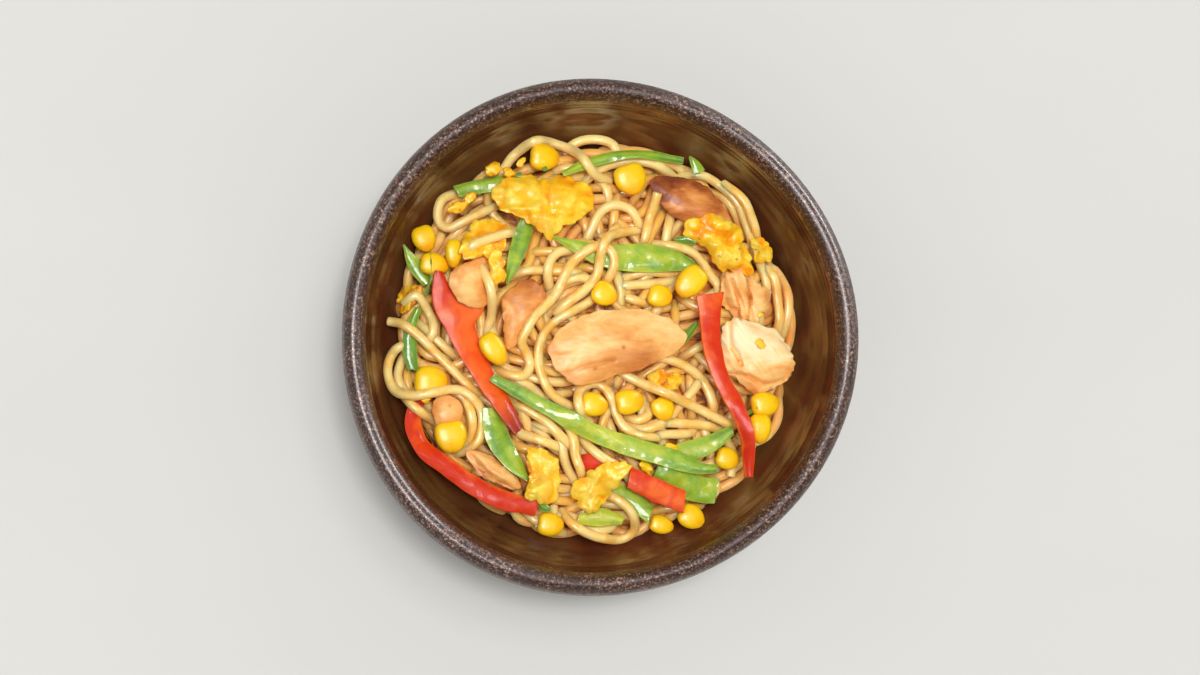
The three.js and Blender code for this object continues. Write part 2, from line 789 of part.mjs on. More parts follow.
// Strands that run over the toppings.
const OVER = [
  [[-29, 52.5], [-24.5, 57.5], [-16, 60.5], [-7, 57.5], [-1, 50], [3, 44]],
  [
    [14, 33], [10, 38], [4, 40.5], [-1, 36], [-4, 29], [0, 22],
    [-3, 14.5], [-10, 10.5], [-16, 4], [-18, -7], [-14, -18],
  ],
  [[12, 31], [5, 30], [0, 26.5], [-1, 20], [-6, 13], [-13, 8]],
  [[-9, 19], [-16, 10], [-22, 3], [-23.5, -3], [-22, -9]],
  [[-3.5, -24], [-8, -20], [-5.5, -14.5], [0, -12.5], [4, -15.5], [4.8, -20.5], [7.5, -25]],
  [
    [-50, 1], [-57, -0.5], [-62.5, -5], [-63.5, -9.5],
    [-62.5, -14.5], [-58, -18], [-52.5, -19], [-46, -17],
  ],
  [[-50, -18.5], [-44, -16.8], [-40, -18.5], [-37.8, -24.5], [-37.8, -31]],
  [[-62, 4], [-57, 1.5], [-50, -5], [-46.5, -9.5]],
  [[11, -53], [11, -57], [7, -60.5], [1, -61.5], [-5, -59.5], [-10, -55], [-11.5, -50]],
  [[3.5, 18], [8, 15.8], [13, 16.2], [21, 18]],
  [[13, 19], [10, 15], [11, 11], [16, 9]],
];

// Strands that run between the toppings.
const BETWEEN = [
  [[-31, 40], [-41, 35.5], [-46, 33.5], [-49.5, 37], [-49, 42], [-44, 44]],
  [[18, 44], [16, 37], [14, 29.5]],
  [[25, 50], [35, 49], [42.5, 41.5], [46, 33], [50, 22], [52, 11], [52, 3]],
  [[51, 22], [57, 16], [58.5, 8], [57, 0], [56, -12]],
  [[56, -19], [55, -26], [50, -31], [46, -31.5]],
  [[-58, 10.5], [-54, 12], [-50, 5], [-50.5, 0]],
  [[-25, -20], [-16, -26.5], [-8, -32.5], [-5, -40]],
  [[5, -9], [16, -15.5], [27, -20.5], [37, -25], [41, -27]],
  [[12, -6.5], [24, -8], [32, -14], [35.5, -22], [35, -30]],
  [[-9, 59], [-3, 61], [3, 60], [6.5, 56]],
];

// A straight-sided tube through points that already have their heights.
function makeTube(points) {
  const section = new THREE.Shape();
  section.absarc(0, 0, NOODLE.radius, 0, 2 * Math.PI);
  const path = new THREE.CatmullRomCurve3(points);
  const steps = Math.max(2, Math.round(path.getLength() / NOODLE.step));
  const options = { steps, curveSegments: NOODLE.sides / 2, bevelEnabled: false, extrudePath: path };
  return solidOf(new THREE.ExtrudeGeometry(section, options));
}

// A route as evenly spaced points, still flat.
function spacedAlong(route) {
  const path = new THREE.CatmullRomCurve3(route.map(([x, y]) => new THREE.Vector3(x, y, 0)));
  return path.getSpacedPoints(Math.round(path.getLength() / (NOODLE.step / 2)));
}

function isClear(x, y, toppings) {
  return toppings.over(x, y, NOODLE.radius + GAP) < 0;
}

// Splits a strand's route into the stretches that run clear of the toppings.
function clearStretches(route, toppings) {
  const stretches = [[]];
  for (const point of spacedAlong(route)) {
    if (isClear(point.x, point.y, toppings)) stretches.at(-1).push(point);
    else if (stretches.at(-1).length) stretches.push([]);
  }
  return stretches.filter((stretch) => (stretch.length * NOODLE.step) / 2 > NOODLE.shortest);
}

// Lays a stretch over the heap, clear of the toppings and the wall, with both ends sunk into the heap.
function layStrand(stretch, heapMap, toppings, wall) {
  const passing = stretch.map(({ x, y }) => {
    const clear = NOODLE.radius + NOODLE.berth;
    return Math.max(toppings.ballOver(x, y, clear), wall.ballOver(x, y, clear));
  });
  const least = stretch.map(({ x, y }, i) => {
    return Math.max(passing[i], heapMap.ballOver(x, y, NOODLE.radius + NOODLE.air));
  });
  let heights = [...least];
  for (let round = 0; round < 4; round++) {
    heights = heights.map((z, i) => {
      const before = heights[Math.max(0, i - 1)];
      const after = heights[Math.min(heights.length - 1, i + 1)];
      return Math.max(least[i], (before + z + after) / 3);
    });
  }
  NOODLE.dips.forEach((dip, i) => {
    for (const end of [i, heights.length - 1 - i]) {
      heights[end] = Math.max(heights[end] - dip, passing[end]);
    }
  });
  return makeTube(stretch.map((point, i) => new THREE.Vector3(point.x, point.y, heights[i])));
}

// A seeded random number between two limits.
let seed = 7;
function between([low, high]) {
  seed = (seed * 16807) % 2147483647;
  return low + ((high - low) * seed) / 2147483647;
}

// The longest of a few curls through a place that run clear of the toppings, as flat points.
function curlThrough(x, y, toppings) {
  const step = NOODLE.step / 2;
  const run = (way, bend, forward) => {
    const points = [];
    const point = new THREE.Vector3(x, y, 0);
    for (let gone = 0; gone < NOODLE.curlReach; gone += step) {
      way += forward * bend * step;
      point.x += forward * step * Math.cos(way);
      point.y += forward * step * Math.sin(way);
      if (Math.hypot(point.x, point.y) > MOUND.edge || !isClear(point.x, point.y, toppings)) break;
      points.push(point.clone());
    }
    return points;
  };
  const curls = Array.from({ length: NOODLE.tries }, () => {
    const way = between([0, 2 * Math.PI]);
    const bend = between(NOODLE.curlBend);
    return [...run(way, bend, -1).reverse(), new THREE.Vector3(x, y, 0), ...run(way, bend, 1)];
  });
  return curls.reduce((best, curl) => (curl.length > best.length ? curl : best));
}

// Places spread evenly over the heap, like the seeds of a sunflower.
function spots() {
  return Array.from({ length: NOODLE.spots }, (_, i) => {
    const out = Math.sqrt((i + 0.5) / NOODLE.spots) * MOUND.shoulder;
    const angle = i * Math.PI * (3 - Math.sqrt(5));
    return [out * Math.cos(angle), out * Math.sin(angle)];
  });
}

// The heap: the core with its strands fused on. Those with a route of their own come first, then loose
// curls from the longest to the shortest.
function makeHeap(core, others, toppings) {
  const heapMap = new HeightMap();
  const strandMap = new HeightMap();
  const wall = new HeightMap();
  heapMap.add(core);
  wall.add(bowl);
  let heap = core;
  const add = (stretch) => {
    const strand = lifted(layStrand(stretch, heapMap, toppings, wall), others);
    if (strand.boundingBox().max[2] > NOODLE.highest) return;
    heapMap.add(strand);
    strandMap.add(strand);
    heap = heap.add(strand);
  };
  OVER.forEach((route) => add(spacedAlong(route)));
  BETWEEN.flatMap((route) => clearStretches(route, toppings)).forEach(add);
  const curls = spots()
    .filter(([x, y]) => isClear(x, y, toppings))
    .map(([x, y]) => curlThrough(x, y, toppings))
    .filter((curl) => curl.length * (NOODLE.step / 2) > NOODLE.shortest)
    .sort((a, b) => b.length - a.length);
  for (const curl of curls) {
    if (heap.numTri() > NOODLE_TRIANGLES) break;
    const { x, y } = curl[Math.floor(curl.length / 2)];
    if (strandMap.over(x, y, NOODLE.spread) < 0) add(curl);
  }
  return wholeBody(heap);
}

// ---------------------------------------------------------------- the whole bowl

const yakisoba = new THREE.Group();
const bowl = makeBowl();
const core = makeCore();
yakisoba.add(meshOf("bowl", bowl, "glaze"));

const ground = new HeightMap();
const covered = new HeightMap();
ground.add(bowl);
ground.add(core);
const laid = [bowl, core];
for (const topping of TOPPINGS) {
  const solid = lifted(topping.lay(topping, ground), laid);
  laid.push(solid);
  ground.add(solid);
  covered.add(solid);
  yakisoba.add(meshOf(topping.name, solid, topping.kind));
}

yakisoba.add(meshOf("noodles", makeHeap(core, laid.filter((piece) => piece !== core), covered), "noodle"));

export default yakisoba;
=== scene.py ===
"""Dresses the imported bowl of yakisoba: glazed bowl, swept noodles, toppings, floor, light and camera."""

import itertools
import math

import bpy
import numpy as np
from bpy.props import FloatProperty, FloatVectorProperty, IntProperty, PointerProperty
from mathutils import Matrix, Vector


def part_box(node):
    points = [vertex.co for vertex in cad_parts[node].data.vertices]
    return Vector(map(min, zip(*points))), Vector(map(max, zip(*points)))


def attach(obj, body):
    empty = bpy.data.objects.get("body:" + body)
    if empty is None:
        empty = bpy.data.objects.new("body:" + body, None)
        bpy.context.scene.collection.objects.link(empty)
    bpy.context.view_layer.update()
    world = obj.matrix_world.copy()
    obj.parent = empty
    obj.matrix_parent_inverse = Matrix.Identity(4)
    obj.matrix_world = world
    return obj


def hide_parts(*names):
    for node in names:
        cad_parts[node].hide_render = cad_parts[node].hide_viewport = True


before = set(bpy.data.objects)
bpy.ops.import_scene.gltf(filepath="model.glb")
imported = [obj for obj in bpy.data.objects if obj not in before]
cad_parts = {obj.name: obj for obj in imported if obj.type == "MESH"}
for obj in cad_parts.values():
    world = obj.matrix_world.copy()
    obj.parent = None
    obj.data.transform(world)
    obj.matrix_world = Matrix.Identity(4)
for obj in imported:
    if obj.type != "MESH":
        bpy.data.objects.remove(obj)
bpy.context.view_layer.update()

bl_info = {
    "name": "Bowl of yakisoba",
    "version": (1, 0, 0),
    "blender": (4, 5, 0),
    "location": "3D View > Sidebar > Yakisoba",
    "description": "Dresses a bowl of fried noodles with chicken, egg, corn, pepper and pea pods",
    "category": "Object",
}

MM = 0.001  # sizes are in millimetres where nothing else is said, and meshes are in metres


def paint(red, green, blue):
    """A colour in screen values from 0 to 255, as the linear values that a shader reads."""
    def linear(value):
        share = value / 255
        return share / 12.92 if share <= 0.04045 else ((share + 0.055) / 1.055) ** 2.4

    return tuple(linear(value) for value in (red, green, blue))


# ---------------------------------------------------------------- what a user may change


def length(name, description, default):
    return FloatProperty(name=name, description=description, default=default * MM, unit="LENGTH", precision=5)


def amount(name, description, default, least=0):
    return IntProperty(name=name, description=description, default=default, min=least)


def colour(name, description, *default):
    return FloatVectorProperty(
        name=name, description=description, default=paint(*default), subtype="COLOR", min=0, max=1,
    )


class BowlSettings(bpy.types.PropertyGroup):
    sides: amount("Sides", "Faces round the bowl", 240, 24)
    ring_height: length("Throwing rings", "How high the potter's rings stand out of the wall", 0.14)
    glaze: colour("Glaze", "Main colour of the glaze inside", 92, 55, 30)
    glaze_streak: colour("Glaze streak", "Olive streaks in the glaze", 102, 72, 34)
    glaze_thin: colour("Thin glaze", "Colour where the glaze runs thin under the lip", 104, 50, 30)
    clay: colour("Clay", "Colour of the lip and the outside", 50, 22, 14)
    fleck: colour("Flecks", "Light flecks on the lip and the outside", 188, 152, 130)


class NoodleSettings(bpy.types.PropertyGroup):
    width: length("Width", "Width of a noodle", 3.25)
    height: length("Height", "Thickness of a noodle", 2.9)
    step: length("Step", "Length of one stretch of a noodle", 1.15)
    sides: amount("Sides", "Faces round a noodle", 10, 5)
    count: amount("Filling noodles", "Bundles that fill the heap under the noodles on top", 230)
    seed: amount("Seed", "Another number gives another heap", 5)
    pale: colour("Pale", "Noodles on top of the heap", 254, 213, 136)
    golden: colour("Golden", "Noodles that the sauce has coloured", 249, 188, 88)
    # The colour of deep noodles: sauce and painted shade.
    sauced_and_shaded: colour("Sauced", "Noodles deep in the heap", 237, 162, 82)


class ToppingSettings(bpy.types.PropertyGroup):
    corn: colour("Corn", "Colour of the corn", 254, 202, 8)
    corn_root: colour("Corn root", "Deeper colour at the root of a kernel", 250, 180, 8)
    egg: colour("Egg", "Main colour of the egg", 255, 192, 26)
    # The pale colour is a painted highlight on the crests; the deep colour is painted shade in the folds and
    # deeper patches.
    egg_crest_highlight: colour("Pale egg", "Colour on the crests of the egg", 255, 220, 84)
    egg_deep_and_fold_shade: colour("Deep egg", "Colour in the folds of the egg", 248, 156, 14)
    chicken_white: colour("White meat", "Palest colour of the chicken", 255, 232, 184)
    chicken_peach: colour("Cooked meat", "Main colour of the chicken", 234, 164, 86)
    chicken_brown: colour("Browned meat", "Chicken that the sauce has browned", 170, 90, 42)
    pepper: colour("Pepper", "Skin of the red pepper", 212, 48, 10)
    pepper_flesh: colour("Pepper flesh", "Paler flesh of the red pepper", 238, 104, 28)
    pod: colour("Pod", "Main colour of the pea pods", 142, 177, 42)
    pod_light: colour("Light pod", "Lighter stripes on the pods", 192, 198, 56)
    pod_dark: colour("Dark pod", "Deeper green of the pods", 100, 145, 44)


class StageSettings(bpy.types.PropertyGroup):
    floor: colour("Floor", "Colour of the floor", 209, 208, 204)
    lens: FloatProperty(name="Lens", description="Focal length in millimetres", default=96.6, unit="CAMERA")
    distance: FloatProperty(name="Distance", description="Camera to food", default=0.97, unit="LENGTH")
    tilt: FloatProperty(
        name="Tilt", description="How far the camera leans from straight above",
        default=math.radians(6), unit="ROTATION",
    )


# ---------------------------------------------------------------- smooth randomness

HASH_FACTORS = (73856093, 19349663, 83492791, 26544357)
HASH_MIX = 1274126177
PUFF_TIGHTNESS = 14


def scatter(spot, seed):
    """A value from -1 to 1 for each whole-numbered place, always the same for the same place."""
    a, b, c, d = HASH_FACTORS
    mixed = (spot[..., 0] * a) ^ (spot[..., 1] * b) ^ (spot[..., 2] * c) ^ (seed * d)
    mixed = ((mixed ^ (mixed >> 13)) * HASH_MIX) & 0xFFFFFFFF
    return ((mixed ^ (mixed >> 16)) & 0xFFFF) / 32767.5 - 1


def mottle(x, y, z, size, seed=0):
    """Smooth noise from -1 to 1, in grains of one size, or of one size for each way."""
    sizes = np.broadcast_to(size, 3)
    points = np.stack(np.broadcast_arrays(x / sizes[0], y / sizes[1], z / sizes[2]), axis=-1)
    cell = np.floor(points).astype(np.int64)
    part = points - cell
    ease = part * part * (3 - 2 * part)
    total = np.zeros(points.shape[:-1])
    for corner in itertools.product((0, 1), repeat=3):
        total += scatter(cell + np.array(corner), seed) * np.prod(np.where(corner, ease, 1 - ease), axis=-1)
    return total


def puffs(x, y, size, seed=0):
    """Round, soft swellings that meet in narrow valleys, from about 0 to 1."""
    x, y = np.broadcast_arrays(x / size, y / size)
    cell = np.stack([np.floor(x), np.floor(y), 0 * x], axis=-1).astype(np.int64)
    total = np.zeros(x.shape)
    for step in itertools.product((-1, 0, 1), (-1, 0, 1), (0,)):
        spot = cell + np.array(step)
        dx = spot[..., 0] + 0.5 + 0.45 * scatter(spot, seed) - x
        dy = spot[..., 1] + 0.5 + 0.45 * scatter(spot, seed + 50) - y
        total += np.exp(-PUFF_TIGHTNESS * (dx * dx + dy * dy))
    return 1 + np.log(total + 1e-9) / PUFF_TIGHTNESS * 1.3


# ---------------------------------------------------------------- curves and meshes


def eased(values):
    """Each value but the first and the last, drawn towards its neighbours."""
    return (values[:-2] + 2 * values[1:-1] + values[2:]) / 4


def with_ends(values):
    """The values with the first and the last of them once more."""
    return np.concatenate([values[:1], values, values[-1:]])


def round_off(values, rounds):
    """Softens a closed run of values."""
    for _ in range(rounds):
        values = eased(np.concatenate([values[-1:], values, values[:1]]))
    return values


def past_ends(points):
    """The points with one more before the first and after the last, in line with them."""
    return np.concatenate([2 * points[:1] - points[1:2], points, 2 * points[-1:] - points[-2:-1]])


def between(a, b, c, d, share):
    """A smooth way from b to c, where a comes before them and d after."""
    square = (2 * a - 5 * b + 4 * c - d) * share**2
    return 0.5 * (2 * b + (c - a) * share + square + (3 * b - a - 3 * c + d) * share**3)


def distances(points):
    """How far along a line of points each one lies."""
    return np.r_[0, np.cumsum(np.linalg.norm(np.diff(points, axis=0), axis=1))]


def along(line, tangent, sides, forward=0):
    """Places to the left of points on a line and ahead of them, as x and y."""
    x = line[:, :1] - tangent[:, 1:] * sides + tangent[:, :1] * forward
    y = line[:, 1:] + tangent[:, :1] * sides + tangent[:, 1:] * forward
    return x, y


def curve_through(points, step):
    """Evenly spaced points on a smooth curve through the given ones."""
    points = np.asarray(points, float)
    padded = past_ends(points)
    share = np.linspace(0, 1, 24, endpoint=False)[:, None]
    stretches = [between(*four, share) for four in zip(padded, padded[1:], padded[2:], padded[3:])]
    fine = np.vstack([*stretches, points[-1:]])
    gone = distances(fine)
    stops = np.linspace(0, gone[-1], max(2, round(gone[-1] / step)) + 1)
    return np.column_stack([np.interp(stops, gone, part) for part in fine.T])


def spread_values(values, count):
    """A few values, evenly spaced, as a smooth run of many."""
    values = np.asarray(values, float)
    at = np.linspace(0, len(values) - 1, count)
    k = np.minimum(at.astype(int), len(values) - 2)
    padded = past_ends(values)
    return between(*(padded[k + shift] for shift in range(4)), at - k)


def circle(count):
    """Even turns all the way round, in radians."""
    return np.linspace(0, 2 * math.pi, count, endpoint=False)


def ball(rows, around, tip):
    """The points of a ball of radius 1, from one end to the other along Y."""
    polar = np.linspace(tip, math.pi - tip, rows)[:, None]
    turn = circle(around)[None, :]
    return np.sin(polar) * np.cos(turn), np.cos(polar) + 0 * turn, np.sin(polar) * np.sin(turn)


def new_object(name, mesh):
    made = bpy.data.objects.new(name, mesh)
    bpy.context.scene.collection.objects.link(made)
    return made


def enclosed(a, b, c):
    """Six times the space inside triangles, less than 0 where they face inwards."""
    return np.einsum("ij,ij->i", a, np.cross(b, c)).sum()


def store(mesh, key, values):
    """Keeps one value for each point of a mesh."""
    mesh.attributes.new(key, "FLOAT", "POINT").data.foreach_set("value", np.asarray(values, np.float32))


def shell(name, rings, attributes, material):
    """A closed skin over rings of points, from one end to the other. An attribute holds one value a point."""
    count, around = rings.shape[:2]
    first, last = count * around, count * around + 1
    points = np.vstack([rings.reshape(-1, 3), rings[0].mean(0), rings[-1].mean(0)])
    index = np.arange(first).reshape(count, around)
    after = np.roll(index, -1, axis=1)
    quads = np.stack([index[:-1], after[:-1], after[1:], index[1:]], axis=-1).reshape(-1, 4)
    caps = [(first, b, a) for a, b in zip(index[0], after[0])]
    caps += [(last, a, b) for a, b in zip(index[-1], after[-1])]
    inner = points - points.mean(0)
    order = -1 if enclosed(*(inner[quads[:, k]] for k in range(3))) < 0 else 1
    mesh = bpy.data.meshes.new(name)
    mesh.from_pydata((points * MM).tolist(), [], [tuple(face)[::order] for face in (*quads.tolist(), *caps)])
    for key, values in attributes.items():
        values = np.broadcast_to(values, (count, around))
        store(mesh, key, np.r_[values.ravel(), values[0].mean(), values[-1].mean()])
    mesh.shade_smooth()
    mesh.materials.append(material)
    mesh.update()
    return new_object(name, mesh)


def corners_of(mesh):
    """The corners of a mesh's triangles, in millimetres."""
    mesh.calc_loop_triangles()
    points = np.empty(len(mesh.vertices) * 3)
    mesh.vertices.foreach_get("co", points)
    corners = np.empty(len(mesh.loop_triangles) * 3, int)
    mesh.loop_triangles.foreach_get("vertices", corners)
    return points.reshape(-1, 3)[corners.reshape(-1, 3)] / MM


def turn_outward(mesh):
    """Flips a closed mesh whose faces point inwards."""
    if enclosed(*np.moveaxis(corners_of(mesh), 1, 0)) < 0:
        mesh.flip_normals()


def settle(piece, slot, *nodes):
    """Hands a finished piece to the frame, in the place of its CAD nodes."""
    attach(piece, "root")
    if nodes:
        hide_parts(*nodes)


# ---------------------------------------------------------------- heights over the table

CELL = 0.5
HALF = 76
SIDE = int(2 * HALF / CELL) + 1
GRID = np.arange(SIDE) * CELL - HALF
EAST, NORTH = GRID[:, None], GRID[None, :]
COVER_MARGIN = 7
TOUCH = 0.01  # how far past a triangle's edge a cell still counts as covered, as a share of the triangle

MOUND = {"crown": 46.3, "fall": 8, "shoulder": 58, "edge": 60, "steepness": 2.2}
INSIDE = [(70.4, 58), (69.8, 50), (68, 43.5), (62.5, 33), (53, 23), (38, 14), (20, 9.8), (0, 9)]
OUTSIDE = [(36, 5), (50, 12), (62, 23), (71, 36), (76, 48), (77.5, 58)]
PAST_WALL = 99  # a height that no piece reaches, for places outside the bowl


def mound_top(x, y):
    out = np.minimum(np.hypot(x, y) / MOUND["shoulder"], 1)
    return MOUND["crown"] - MOUND["fall"] * out ** MOUND["steepness"]


def wall_height(x, y):
    radius, height = curve_through(INSIDE, 0.5)[::-1].T
    return np.interp(np.hypot(x, y), radius, height, right=PAST_WALL)


def cells_of(values):
    return np.clip(np.round((values + HALF) / CELL).astype(int), 0, SIDE - 1)


def cells_between(values, start):
    """The cells of a grid that begins at start which lie between some values."""
    return slice(math.ceil((min(values) - start) / CELL), math.floor((max(values) - start) / CELL) + 1)


def blur(values, rounds):
    for _ in range(2 * rounds):
        values = eased(with_ends(values)).T
    return values


class Cover:
    """The top and the underside of a piece, as heights on the grid."""

    def __init__(self, triangles):
        low, high = triangles[..., :2].min((0, 1)), triangles[..., :2].max((0, 1))
        self.rows, self.columns = (
            slice(cells_of(low[k] - COVER_MARGIN), cells_of(high[k] + COVER_MARGIN) + 1) for k in (0, 1)
        )
        self.x, self.y = x, y = EAST[self.rows], NORTH[:, self.columns]
        self.top = np.full((x.size, y.size), -np.inf)
        self.under = np.full((x.size, y.size), np.inf)
        self.triangles = triangles
        for (ax, ay, az), (bx, by, bz), (cx, cy, cz) in triangles:
            area = (bx - ax) * (cy - ay) - (cx - ax) * (by - ay)
            i, j = cells_between((ax, bx, cx), x[0, 0]), cells_between((ay, by, cy), y[0, 0])
            if abs(area) < 1e-6 or i.start >= i.stop or j.start >= j.stop:
                continue
            east, north = x[i], y[:, j]
            share_b = ((east - ax) * (cy - ay) - (cx - ax) * (north - ay)) / area
            share_c = ((bx - ax) * (north - ay) - (east - ax) * (by - ay)) / area
            z = az + share_b * (bz - az) + share_c * (cz - az)
            held = (share_b > -TOUCH) & (share_c > -TOUCH) & (share_b + share_c < 1 + TOUCH)
            np.maximum(self.top[i, j], z, out=self.top[i, j], where=held)
            np.minimum(self.under[i, j], z, out=self.under[i, j], where=held)
        self.held = np.isfinite(self.top)

    def lift(self, heights):
        """Raises a map of heights to the top of the piece."""
        part = heights[self.rows, self.columns]
        np.maximum(part, self.top, out=part)

    def press(self, heights):
        """Lowers a map of heights to the underside of the piece."""
        part = heights[self.rows, self.columns]
        np.minimum(part, self.under, out=part)

    def middle(self):
        return np.array([(self.x * self.held).sum(), (self.y * self.held).sum()]) / self.held.sum()

    def smooth(self, softness):
        """The two surfaces spread past the outline and softened, ready for sampling."""
        self.soft = []
        for surface in (self.top, self.under):
            known = self.held.astype(float)
            value = np.where(self.held, surface, 0)
            while (known == 0).any():
                share = blur(known, 1)
                spread = blur(value, 1) / np.maximum(share, 1e-9)
                value = np.where(known > 0, value, np.where(share > 0, spread, 0))
                known = np.where((known > 0) | (share > 0), 1.0, 0.0)
            self.soft.append(blur(value, softness))
        return self

    def at(self, x, y):
        """The height of the top and of the underside at places."""
        u = np.clip((x - self.x[0, 0]) / CELL, 0, self.x.size - 1.001)
        v = np.clip((y - self.y[0, 0]) / CELL, 0, self.y.size - 1.001)
        i, j = u.astype(int), v.astype(int)
        s, t = u - i, v - j

        def across(surface, row):
            return (1 - t) * surface[row, j] + t * surface[row, j + 1]

        return [(1 - s) * across(surface, i) + s * across(surface, i + 1) for surface in self.soft]

    def reach(self, middle, angles):
        """How far the outline lies from its middle, at each angle."""
        flat = self.triangles[..., :2] - middle
        start = flat.reshape(-1, 2)
        way = np.roll(flat, -1, axis=1).reshape(-1, 2) - start
        dx, dy = np.cos(angles), np.sin(angles)
        turn = way[:, :1] * dy - way[:, 1:] * dx
        turn = np.where(np.abs(turn) < 1e-9, 1e-9, turn)
        share = -(start[:, :1] * dy - start[:, 1:] * dx) / turn
        far = (start[:, :1] + share * way[:, :1]) * dx + (start[:, 1:] + share * way[:, 1:]) * dy
        return np.where((share >= 0) & (share <= 1), far, 0).max(0)


COVERS = {}


def cover_of(node):
    if node not in COVERS:
        COVERS[node] = Cover(corners_of(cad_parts[node].data))
    return COVERS[node]


# ---------------------------------------------------------------- node trees


class Tree:
    """A node tree that a script fills with nodes, and feeds with values and links."""

    def node(self, kind, inputs=None, **settings):
        made = self.tree.nodes.new(kind)
        for key, value in settings.items():
            setattr(made, key, value)
        for key, value in (inputs or {}).items():
            self.feed(made.inputs[key], value)
        return made

    def feed(self, socket, value):
        if isinstance(value, bpy.types.NodeSocket):
            self.tree.links.new(value, socket)
        else:
            socket.default_value = value

    def math(self, operation, *values):
        return self.node("ShaderNodeMath", dict(enumerate(values)), operation=operation).outputs[0]

    def sum(self, a, b):
        return self.math("ADD", a, b)

    def less(self, a, b):
        return self.math("SUBTRACT", a, b)

    def times(self, a, b):
        return self.math("MULTIPLY", a, b)


class Finish(Tree):
    """A material whose nodes read a piece's own coordinates and attributes."""

    def __init__(self, name):
        self.material = bpy.data.materials.new(name)
        self.material.use_nodes = True
        self.tree = self.material.node_tree
        self.shader = self.tree.nodes["Principled BSDF"]
        self.place = self.node("ShaderNodeTexCoord").outputs["Object"]

    def attribute(self, name):
        return self.node("ShaderNodeAttribute", attribute_name=name).outputs["Fac"]

    def height(self):
        return self.node("ShaderNodeSeparateXYZ", {0: self.place}).outputs["Z"]

    def noise(self, size, detail=3, stretch=(1, 1, 1), turn=0, roughness=0.55, distortion=0, shift=0):
        """Noise whose grain is size millimetres, longer where stretch is more than 1."""
        scale = tuple(1 / MM / size / part for part in stretch)
        spot = self.node(
            "ShaderNodeMapping",
            {"Vector": self.place, "Rotation": (0, 0, turn), "Location": (shift,) * 3, "Scale": scale},
            vector_type="POINT",
        )
        inputs = {"Vector": spot.outputs[0], "Scale": 1, "Detail": detail}
        return self.node(
            "ShaderNodeTexNoise", {**inputs, "Roughness": roughness, "Distortion": distortion},
        ).outputs["Fac"]

    def span(self, value, low, high, to_low=0, to_high=1):
        """A value between two limits, moved to between two others."""
        inputs = {"Value": value, 1: low, 2: high, 3: to_low, 4: to_high}
        return self.node("ShaderNodeMapRange", inputs, interpolation_type="SMOOTHSTEP").outputs[0]

    def unsteady(self, value, by, noise):
        """A value that wanders up to by either way."""
        return self.sum(value, self.span(noise, 0.3, 0.7, -by, by))

    def ramp(self, value, *stops):
        made = self.node("ShaderNodeValToRGB", {"Fac": value})
        elements = made.color_ramp.elements
        while len(elements) < len(stops):
            elements.new(0.5)
        for element, (place, colour) in zip(elements, stops):
            element.position = place
            element.color = (*colour, 1)
        return made.outputs["Color"]

    def blend(self, share, a, b):
        a, b = (value if isinstance(value, bpy.types.NodeSocket) else (*value, 1) for value in (a, b))
        return self.node("ShaderNodeMix", {0: share, 6: a, 7: b}, data_type="RGBA").outputs[2]

    def bump(self, height, depth, strength=1, over=None):
        """Relief depth millimetres high, over another one if given."""
        inputs = {"Height": height, "Distance": depth * MM, "Strength": strength}
        if over is not None:
            inputs["Normal"] = over
        return self.node("ShaderNodeBump", inputs).outputs["Normal"]

    def set(self, **values):
        for key, value in values.items():
            self.feed(self.shader.inputs[key.replace("_", " ")], value)
        return self.material

    def juicy(self, depth, weight, scatter):
        """Lets light into the piece, depth millimetres for the colour that goes deepest."""
        self.set(Subsurface_Weight=weight, Subsurface_Radius=scatter, Subsurface_Scale=depth * MM)


class Rule(Tree):
    """A Geometry Nodes tree with named inputs. It makes one plain mesh from the lines it is given."""

    def __init__(self, name, **inputs):
        self.tree = bpy.data.node_groups.new(name, "GeometryNodeTree")
        kinds = {int: "NodeSocketInt", float: "NodeSocketFloat", bpy.types.Material: "NodeSocketMaterial"}
        make = self.tree.interface.new_socket
        make("Geometry", in_out="INPUT", socket_type="NodeSocketGeometry")
        make("Geometry", in_out="OUTPUT", socket_type="NodeSocketGeometry")
        self.keys = {
            key: make(key, in_out="INPUT", socket_type=kinds[kind]).identifier for key, kind in inputs.items()
        }
        self.given = self.tree.nodes.new("NodeGroupInput").outputs
        self.result = self.tree.nodes.new("NodeGroupOutput").inputs[0]

    def close(self, geometry):
        """Ends the tree: smooth faces, real meshes, one material."""
        smooth = self.node("GeometryNodeSetShadeSmooth", {"Geometry": geometry})
        real = self.node("GeometryNodeRealizeInstances", {"Geometry": smooth.outputs[0]})
        inputs = {"Geometry": real.outputs[0], "Material": self.given["Material"]}
        self.feed(self.result, self.node("GeometryNodeSetMaterial", inputs).outputs[0])

    def make(self, name, mesh, **values):
        """Runs the tree on a mesh and returns a plain object."""
        holder = new_object(name + "_lines", mesh)
        modifier = holder.modifiers.new(self.tree.name, "NODES")
        modifier.node_group = self.tree
        for key, value in values.items():
            modifier[self.keys[key]] = value
        graph = bpy.context.evaluated_depsgraph_get()
        result = bpy.data.meshes.new_from_object(
            holder.evaluated_get(graph), preserve_all_data_layers=True, depsgraph=graph,
        )
        holder.modifiers.remove(modifier)
        bpy.data.objects.remove(holder)
        result.name = name
        turn_outward(result)
        return new_object(name, result)


# ---------------------------------------------------------------- finishes


